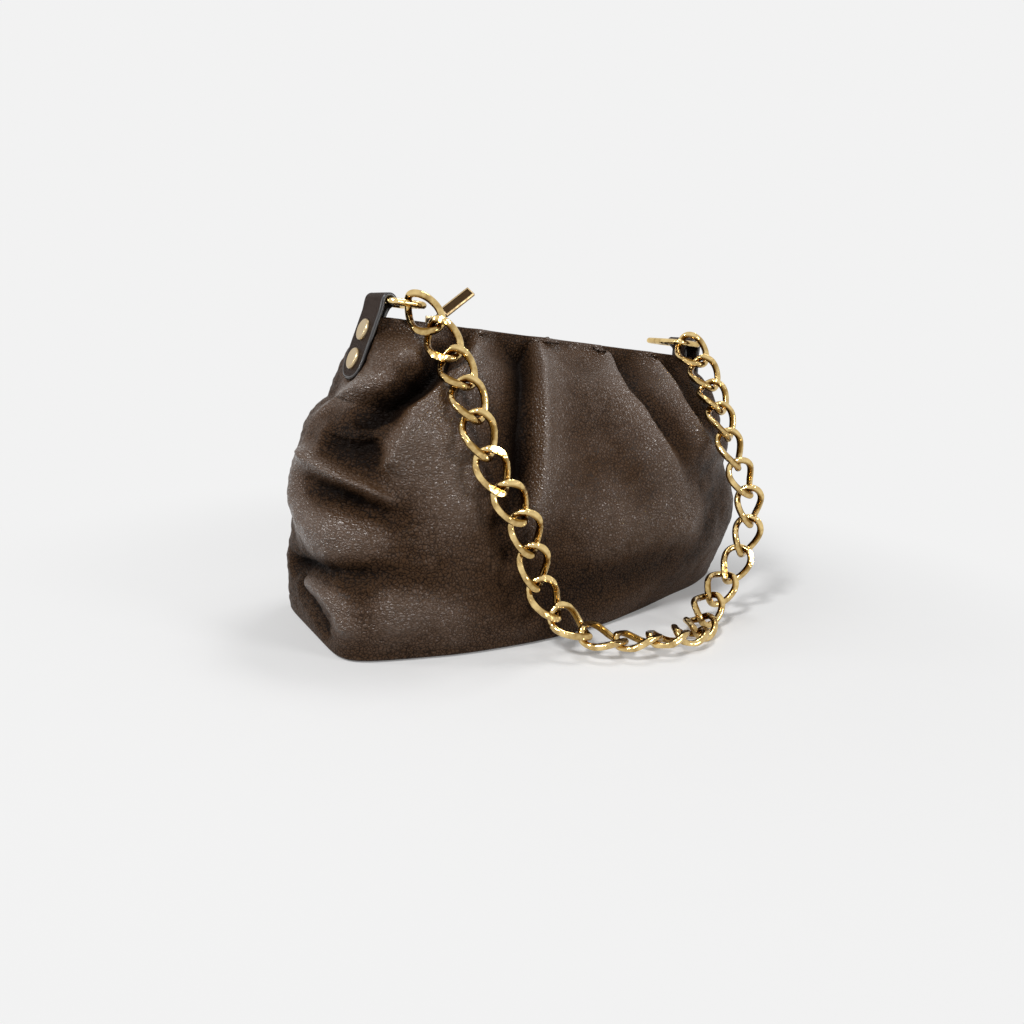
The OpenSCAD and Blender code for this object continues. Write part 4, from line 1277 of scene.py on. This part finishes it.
@dataclass
class Rivets:
    """The caps and posts of the two rivets of a tab."""

    end: End
    radius: float = 5.75
    height: float = 1.6
    face: float = 3.45
    drop: float = 17.0
    pitch: float = 15.5
    profile: tuple = ((0.0, 1.0), (0.45, 1.0), (0.85, 0.985), (1.25, 0.94), (1.5, 0.88), (1.6, 0.82),
                      (1.56, 0.77), (1.5, 0.72), (1.5, 0.5), (1.53, 0.25), (1.54, 0.03))
    sides: int = 64

    def build(self) -> None:
        """Builds the caps and dresses the posts."""
        angle = 2 * np.pi * np.arange(self.sides) / self.sides
        clouds, faces = [], []
        for row in range(2):
            for out in (-1, 1):
                loops = [np.stack([np.full(self.sides, out * (self.face + h)),
                                   out * r * self.radius * np.cos(angle),
                                   r * self.radius * np.sin(angle) - self.drop - row * self.pitch], -1)
                         for h, r in self.profile]
                points, skin = stacked(loops, (False, True))
                start = len(clouds) * len(points)
                clouds.append(points)
                faces += [tuple(start + i for i in f) for f in skin]
        points = MOUTH.tab(np.vstack(clouds), self.end, TAB_SLOPE[self.end])
        if self.end is End.RIGHT:
            faces = [f[::-1] for f in faces]
        name = self.end.name.lower()
        piece = make_piece(f"{name}_rivet_heads", points, faces, sharp=40)
        settle(piece, BRASS, "bag", [f"{name}_rivet_caps"])
        BRASS.dress(frame["nodes"][f"{name}_rivet_posts"])


@dataclass
class EndRing:
    """The wire ring in the tab's fold."""

    end: End
    wire: float = 3.6
    length: float = 18.0
    span: float = 29.0
    corner: float = 3.0

    def build(self) -> None:
        """Builds and dresses the ring."""
        half = np.array([self.length / 2 - self.corner, self.span / 2 - self.corner])
        arcs = []
        for k, (sx, sy) in enumerate(((1, 1), (-1, 1), (-1, -1), (1, -1))):
            a = np.linspace(k * np.pi / 2, (k + 1) * np.pi / 2, 14)
            arcs.append(np.stack([sx * half[0] + self.corner * np.cos(a),
                                  sy * half[1] + self.corner * np.sin(a)], -1))
        corners = np.vstack(arcs)
        path = np.column_stack([corners, np.zeros(len(corners))])
        points, faces = tube(path, self.wire / 2, 24, unit)
        points[:, 0] += self.length / 2 - MOUTH.bar_x
        if self.end is End.RIGHT:
            faces = [f[::-1] for f in faces]
        name = self.end.name.lower()
        piece = make_piece(f"{name}_wire_ring", MOUTH.put(points, self.end), faces)
        settle(piece, GOLD, "bag", [f"{name}_ring"])


# --------------------------------------------------------------------------- zip


@dataclass
class Zip:
    """Facings, tapes, teeth and slider in the mouth, with the leather-necked puller."""

    drop: float = 12.5
    half: float = 91.5
    tape: float = 0.7
    tape_in: float = 2.7
    tape_out: float = 6.7
    facing_in: float = 5.3
    facing: float = 1.2
    slider_x: float = -75.7
    pivot_rise: float = 5.5
    rise_angle: float = 41.0
    neck_end: float = 8.6
    neck_w: float = 3.6
    ply: float = 0.9
    eye: float = 1.65
    bar_start: float = 7.6
    bar_len: float = 21.0
    bar_w: float = 6.0
    bar_t: float = 2.4
    twist: float = 50.0
    twist_len: float = 5.0

    def strip(self, name: str, side: int, inner: float, outer: float, low: float, thick: float,
              wave: float) -> bpy.types.Object:
        """Makes a slightly waved strip along the mouth.

        Args:
            name: the piece's name.
            side: 1 for the front of the slit, -1 for its back.
            inner: distance of its inner edge from the slit's middle.
            outer: distance of its outer edge.
            low: its underside's height in the mouth frame.
            thick: its thickness.
            wave: height of its waves.

        Returns:
            The piece.
        """
        x = np.linspace(-self.half, self.half, 220)
        middle = (inner + outer) / 2
        section = [(inner, 0.25), (inner, 0.75), (inner + 0.2, 1.0), (middle, 1.0), (outer - 0.1, 1.0),
                   (outer, 0.75), (outer, 0.25), (outer - 0.2, 0.0), (middle, 0.0), (inner + 0.1, 0.0)]
        loops = []
        for at in x:
            lift = wave * (0.5 + 0.5 * math.sin(at * 0.21 + side))
            loops.append(np.array([(at, -side * y, low + h * thick + lift * (y - inner) / (outer - inner))
                                   for y, h in section]))
        points, faces = stacked(loops)
        if side > 0:
            faces = [f[::-1] for f in faces]
        return make_piece(name, MOUTH.put(points), faces, sharp=60)

    def in_pull(self, points: Points) -> Points:
        """Points of the puller's frame in the bag's frame, with the neck's twist."""
        turn = math.radians(self.twist) * smooth_step((points[:, 0] - self.eye - 1.0) / self.twist_len)
        c, s = np.cos(turn), np.sin(turn)
        x, y, z = points.T
        points = np.stack([x, c * y - s * z, s * y + c * z], -1)
        matrix = Matrix.Translation((self.slider_x, 0, self.pivot_z())) @ Matrix.Rotation(
            math.radians(-self.rise_angle), 4, "Y")
        return moved(points, MOUTH.matrix() @ matrix)

    def pivot_z(self) -> float:
        """Height of the slider's pin in the mouth frame."""
        return self.pivot_rise - self.drop

    def neck(self) -> bpy.types.Object:
        """The leather neck: two plies that loop round the slider's pin."""
        r = self.eye
        arc = np.linspace(0.5, 2 * np.pi - 0.5, 30)
        loop = np.stack([r * np.cos(arc), r * np.sin(arc)], -1)
        leg = np.linspace(self.neck_end, r + 1.0, 12)[:, None]
        gap = self.ply / 2 + 0.02
        top = np.hstack([leg, np.full_like(leg, gap)])
        low = np.hstack([leg[::-1], np.full_like(leg, -gap)])
        path = smooth_path(np.vstack([top, loop, low]), 2)
        ahead = unit(np.gradient(path, axis=0))
        out = np.stack([-ahead[:, 1], ahead[:, 0]], -1)
        section = [(-0.5, -0.4), (-0.46, -0.5), (0.46, -0.5), (0.5, -0.4),
                   (0.5, 0.4), (0.46, 0.5), (-0.46, 0.5), (-0.5, 0.4)]
        loops = []
        for p, o in zip(path, out):
            loops.append(np.array([(p[0] + o[0] * t * self.ply * 0.8, w * self.neck_w,
                                    p[1] + o[1] * t * self.ply * 0.8) for w, t in section]))
        points, faces = stacked(loops)
        piece = make_piece("puller_neck", self.in_pull(points), faces, sharp=60)
        return settle(piece, NECK_LEATHER, "puller", ["zip_pull_neck"])

    def bar(self) -> bpy.types.Object:
        """The brass bar: bevelled rims round a sunk face on both sides."""
        half_l, half_w = self.bar_len / 2, self.bar_w / 2

        def plan(inset: float, z: float) -> Points:
            """A rectangle with small rounded corners."""
            r = max(0.55 - inset * 0.4, 0.12)
            pts = []
            for k, (sx, sy) in enumerate(((1, 1), (-1, 1), (-1, -1), (1, -1))):
                for a in np.linspace(k * np.pi / 2, (k + 1) * np.pi / 2, 6):
                    pts.append((sx * (half_l - inset - r) + r * math.cos(a) + self.bar_start + half_l,
                                sy * (half_w - inset - r) + r * math.sin(a), z))
            return np.array(pts)

        t = self.bar_t / 2
        stack = [(1.25, -t + 0.28), (1.1, -t + 0.03), (0.95, -t), (0.72, -t), (0.62, -t + 0.05),
                 (0.06, -t + 0.62), (0.0, -t + 0.74), (0.0, t - 0.74), (0.06, t - 0.62), (0.62, t - 0.05), (0.72, t), (0.95, t),
                 (1.1, t - 0.03), (1.25, t - 0.28)]
        points, faces = stacked([plan(*s) for s in stack])
        piece = make_piece("puller_brass_bar", self.in_pull(points), faces, sharp=30)
        # Painted shade: the sunk face is marked to take the darker metal colour.
        sunk = [float(inset > 1.0) for inset, _ in stack]
        set_mark(piece, "hollow", np.repeat(sunk, len(points) // len(stack)))
        return settle(piece, BAR_BRASS, "puller", ["zip_pull_bar"])

    def build(self) -> None:
        """Builds and dresses the zip."""
        low = -self.drop - self.tape / 2
        for name, side in (("front", 1), ("back", -1)):
            tape = self.strip(f"zip_tape_weave_{name}", side, self.tape_in, self.tape_out, low,
                              self.tape * 0.98, 0.0)
            settle(tape, TAPE_CLOTH, "bag", [f"zip_tape_{name}"])
            strip = self.strip(f"zip_leather_facing_{name}", side, self.facing_in, self.tape_out,
                               low + self.tape + 0.02, self.facing, 0.35)
            settle(strip, STRAP_LEATHER, "bag", [f"zip_facing_{name}"])
            ZIP_METAL.dress(frame["nodes"][f"zip_teeth_{name}"])
        ZIP_METAL.dress(frame["nodes"]["zip_stops"])
        ZIP_METAL.dress(frame["nodes"]["zip_slider"])
        self.neck()
        self.bar()


# --------------------------------------------------------------------------- chain


@dataclass
class ChainStrap:
    """Twenty-seven twisted curb links between the two rings."""

    strand: int = 13
    pitch: float = 18.6
    wire: float = 3.8
    width: float = 19.6
    play: float = 0.5
    twist: float = 42.0
    flat: float = 7.2
    hook_x: float = 94.1
    setback: float = 2.15
    oval: float = 2.3
    slope: float = 0.682382
    drop: tuple = (0.981, 1.054, 0.999, 1.155, 1.339, 1.439, 1.462, 1.465, 1.462, 1.386, 1.054, 0.33, -0.33)
    left_lean: tuple = (0.42, 0.21, 0.08, 0.07, 0.21, 0.51, 0.67, 0.4, 0.27, 0.54, 0.73, 0.85, 0.92)
    right_lean: tuple = (0.11, -0.08, -0.2, -0.08, 0.25, 0.56, 0.23, -0.17, -0.55, -0.8, -0.74, -0.78, -0.94)
    left_roll: tuple = (62, 47, 31, 15, 4, 0, 0, 0, -3, -6, -6, 3, 6)
    right_roll: tuple = (45, 32, 18, 6, 0, 0, 6, 14, 22, 26, 18, 2, -12)
    steps: int = 120
    sides: int = 28

    def run(self, k: int) -> float:
        """Distance from one joint of a strand to the next."""
        return self.pitch - self.setback if k == 0 else self.pitch

    def drape(self, k: int) -> float:
        """A link's downward angle, in radians."""
        return math.asin(max(-1.0, min(1.0, self.slope * self.drop[k])))

    def lean(self, k: int, right: bool) -> float:
        """A link's sideways lean, in radians."""
        total = sum(self.run(i) * (self.left_lean[i] - self.right_lean[i]) for i in range(self.strand))
        scale = (2 * self.hook_x - self.pitch) / total
        return math.asin(scale * (self.right_lean if right else self.left_lean)[k])

    def axes(self, a: float, b: float, roll: float) -> list[Vector]:
        """Unit directions of a link: along it, across it and out of its flat face."""
        d = self.along(a, b)
        n = Vector((0, -math.sin(a), math.cos(a)))
        w = n.cross(d)
        c, s = math.cos(roll), math.sin(roll)
        return [d, c * w + s * n, c * n - s * w]

    @staticmethod
    def along(a: float, b: float) -> Vector:
        """A link's direction, from its drape and its lean."""
        return Vector((math.sin(b), -math.cos(b) * math.cos(a), -math.cos(b) * math.sin(a)))

    def joint(self, k: int, right: bool) -> Vector:
        """Where a strand's link k starts, in the mouth frame."""
        at = Vector((self.hook_x if right else -self.hook_x, -MOUTH.leg_y, 0))
        for i in range(k):
            at = at + self.run(i) * self.along(self.drape(i), self.lean(i, right))
        return at

    def link_mesh(self) -> bpy.types.Mesh:
        """One curb link: a twisted oval of wire with its four shoulders ground flat."""
        half, side = (self.pitch + self.wire + self.play) / 2, (self.width - self.wire) / 2
        t = 2 * np.pi * (np.arange(self.steps) + 0.5) / self.steps
        c, s = np.cos(t), np.sin(t)
        x = half * np.sign(c) * np.abs(c) ** (2 / self.oval)
        y = side * np.sign(s) * np.abs(s) ** (2 / self.oval)
        tw = -np.radians(self.twist) * x / half
        path = np.stack([x, y * np.cos(tw), y * np.sin(tw)], -1)

        def outward(_: Points) -> Points:
            """Directions out of the oval, in its plane."""
            return unit(np.stack([x / half, y / side, np.zeros_like(x)], -1))

        points, faces = tube(path, self.wire / 2, self.sides, outward)
        points[:, 2] = np.clip(points[:, 2], -self.flat / 2, self.flat / 2)
        piece = make_piece("curb_link_shape", points, faces, sharp=16)
        # Painted shade: the wire's inner side, facing the link's middle, is marked to take the darker metal colour.
        around = np.cos(2 * np.pi * (np.arange(self.sides) + 0.5) / self.sides)
        set_mark(piece, "hollow", np.tile(0.75 * smooth_step((-around - 0.1) / 0.7), self.steps))
        mesh = piece.data
        bpy.data.objects.remove(piece)
        return mesh

    def build(self) -> None:
        """Builds, places and dresses the links."""
        mesh = self.link_mesh()
        metres = Matrix.Scale(MM, 4)
        for i in range(1, 2 * self.strand + 2):
            right, middle = i > self.strand + 1, i == self.strand + 1
            k = 2 * self.strand + 1 - i if right else i - 1
            a = self.drape(self.strand - 1 if middle else k)
            b = math.pi / 2 if middle else self.lean(k, right)
            roll = 0.0 if middle else math.radians((self.right_roll if right else self.left_roll)[k])
            start = self.joint(self.strand, False) if middle else self.joint(k, right)
            along, across, out = self.axes(a, b, roll)
            setback = 0.0 if middle or k else self.setback
            centre = start + (self.pitch / 2 - setback) * along
            local = Matrix((along, across, out)).transposed().to_4x4()
            local.translation = centre
            place = MOUTH.matrix() @ local
            place = metres @ place @ metres.inverted()
            piece = bpy.data.objects.new(f"curb_link_{i:02d}", mesh)
            bpy.context.scene.collection.objects.link(piece)
            piece.matrix_world = place
            body = "link_13" if middle else f"link_{i:02d}"
            settle(piece, GOLD, body, [f"chain_link_{i:02d}"])


# --------------------------------------------------------------------------- studio


@dataclass
class Studio:
    """Pale floor, soft lamps, plain world and the camera at the photograph's place."""

    azimuth: float = -32.4
    elevation: float = 13.1
    roll: float = 2.8
    place: tuple[float, float, float] = (-0.2684, -0.3936, 0.1636)
    lens: float = 28.125
    pale: float = 0.888
    world_light: float = 0.14
    shadow_lift: float = 0.62
    contact_lift: float = 0.18
    footprint: tuple[float, float, float] = (6.2, 11.0, 0.0)
    shadow_ahead: float = 0.02
    contact_edge: tuple[float, float] = (0.8, 1.7)
    shadow_edge: tuple[float, float] = (0.18, 0.4)
    floor_tones: tuple[float, float] = (0.815, 0.83)
    floor_half: float = 20.0
    room_tint: tuple[float, float, float] = (1.0, 0.99, 0.975)
    lamps: tuple = (("key_softbox", (-1.05, -0.48, 1.2), (0.24, 0.24), 17.0),
                    ("overhead_softbox", (0.35, 0.1, 1.2), (0.4, 0.3), 3.5),
                    ("left_softbox", (-1.1, 0.4, 0.45), (0.16, 0.18), 2.5),
                    ("front_softbox", (0.6, -1.2, 0.4), (0.4, 0.3), 7.5))

    def camera(self) -> None:
        """Adds the camera and makes it the scene's."""
        a, e, r = (math.radians(v) for v in (self.azimuth, self.elevation, self.roll))
        forward = Vector((-math.sin(a) * math.cos(e), math.cos(a) * math.cos(e), -math.sin(e)))
        right = forward.cross(Vector((0, 0, 1))).normalized()
        up = right.cross(forward)
        level = math.cos(r) * right + math.sin(r) * up
        tall = math.cos(r) * up - math.sin(r) * right
        data = bpy.data.cameras.new("photo_camera")
        data.lens, data.sensor_width, data.sensor_fit = self.lens, 36.0, "HORIZONTAL"
        data.clip_start, data.clip_end = 0.01, 100.0
        camera = bpy.data.objects.new("photo_camera", data)
        turned = Matrix((level, tall, -forward)).transposed().to_4x4()
        camera.matrix_world = Matrix.Translation(self.place) @ turned
        bpy.context.scene.collection.objects.link(camera)
        bpy.context.scene.camera = camera

    def lamp(self, name: str, place: tuple[float, float, float], size: tuple[float, float],
             power: float) -> None:
        """Adds a soft rectangular lamp aimed at the bag."""
        data = bpy.data.lights.new(name, "AREA")
        data.shape, data.size, data.size_y, data.energy = "RECTANGLE", size[0], size[1], power
        lamp = bpy.data.objects.new(name, data)
        lamp.location = place
        aim = Vector((0, 0, 0.08)) - Vector(place)
        lamp.rotation_euler = aim.to_track_quat("-Z", "Y").to_euler()
        bpy.context.scene.collection.objects.link(lamp)

    def world(self) -> None:
        """A plain white room; the camera and reflections see the photo's pale background."""
        world = bpy.data.worlds.new("pale_room")
        bpy.context.scene.world = world
        r = Recipe(world.name, world)
        room = r.add("ShaderNodeBackground", None, {"Color": self.room_tint, "Strength": self.world_light})
        back = r.add("ShaderNodeBackground", None, {"Color": (1.0, 1.0, 1.0), "Strength": self.pale})
        shader = r.mixed(r.ray_is("Camera", "Glossy", "Transmission"), room, back)
        r.add("ShaderNodeOutputWorld", None, {"Surface": shader})

    def floor(self) -> None:
        """The pale floor: it takes the shadow near the bag and meets the background further out."""
        r = Recipe("pale_floor")
        away = r.add("ShaderNodeVectorMath", {"operation": "LENGTH"}, {"Vector": r.place()}, out="Value")
        shown = r.ray_is("Camera", "Glossy")
        grain = r.speckle(r.place(), 60.0, 3.0)
        lit = r.surface(Base_Color=r.blend(grain, *((tone,) * 3 for tone in self.floor_tones)), Roughness=0.9,
                        Specular_IOR_Level=0.0)
        flat = r.add("ShaderNodeEmission", None, {"Color": (1.0, 1.0, 1.0), "Strength": self.pale})
        ahead = r.shifted(r.place(), (0.0, self.shadow_ahead, 0.0))
        beyond = r.add("ShaderNodeVectorMath", {"operation": "LENGTH"},
                       {"Vector": r.scaled(ahead, self.footprint)}, out="Value")
        lift = beyond.between(*self.contact_edge) * (self.shadow_lift - self.contact_lift) + self.contact_lift
        share = (lift + away.between(*self.shadow_edge) * (1.0 - lift)) * shown
        material = r.finish(r.mixed(share, lit, flat))
        half = self.floor_half / MM
        corners = np.array([(-half, -half, 0), (half, -half, 0), (half, half, 0), (-half, half, 0)])
        floor = make_piece("studio_floor", corners, [(0, 1, 2, 3)])
        floor.data.materials.append(material)

    def build(self) -> None:
        """Builds the studio."""
        self.camera()
        self.world()
        self.floor()
        for name, place, size, power in self.lamps:
            self.lamp(name, place, size, power)
        bpy.context.scene.view_settings.view_transform = "Standard"


def main() -> None:
    """Builds the sub-assemblies in order."""
    logging.basicConfig(level=logging.INFO, format="%(name)s: %(message)s")
    Studio().build()
    body = LeatherBody()
    body.build()
    Lining().build(body)
    for end in End:
        TabStrip(end).build()
        Rivets(end).build()
        EndRing(end).build()
    Zip().build()
    ChainStrap().build()


if __name__ == "__main__":
    main()
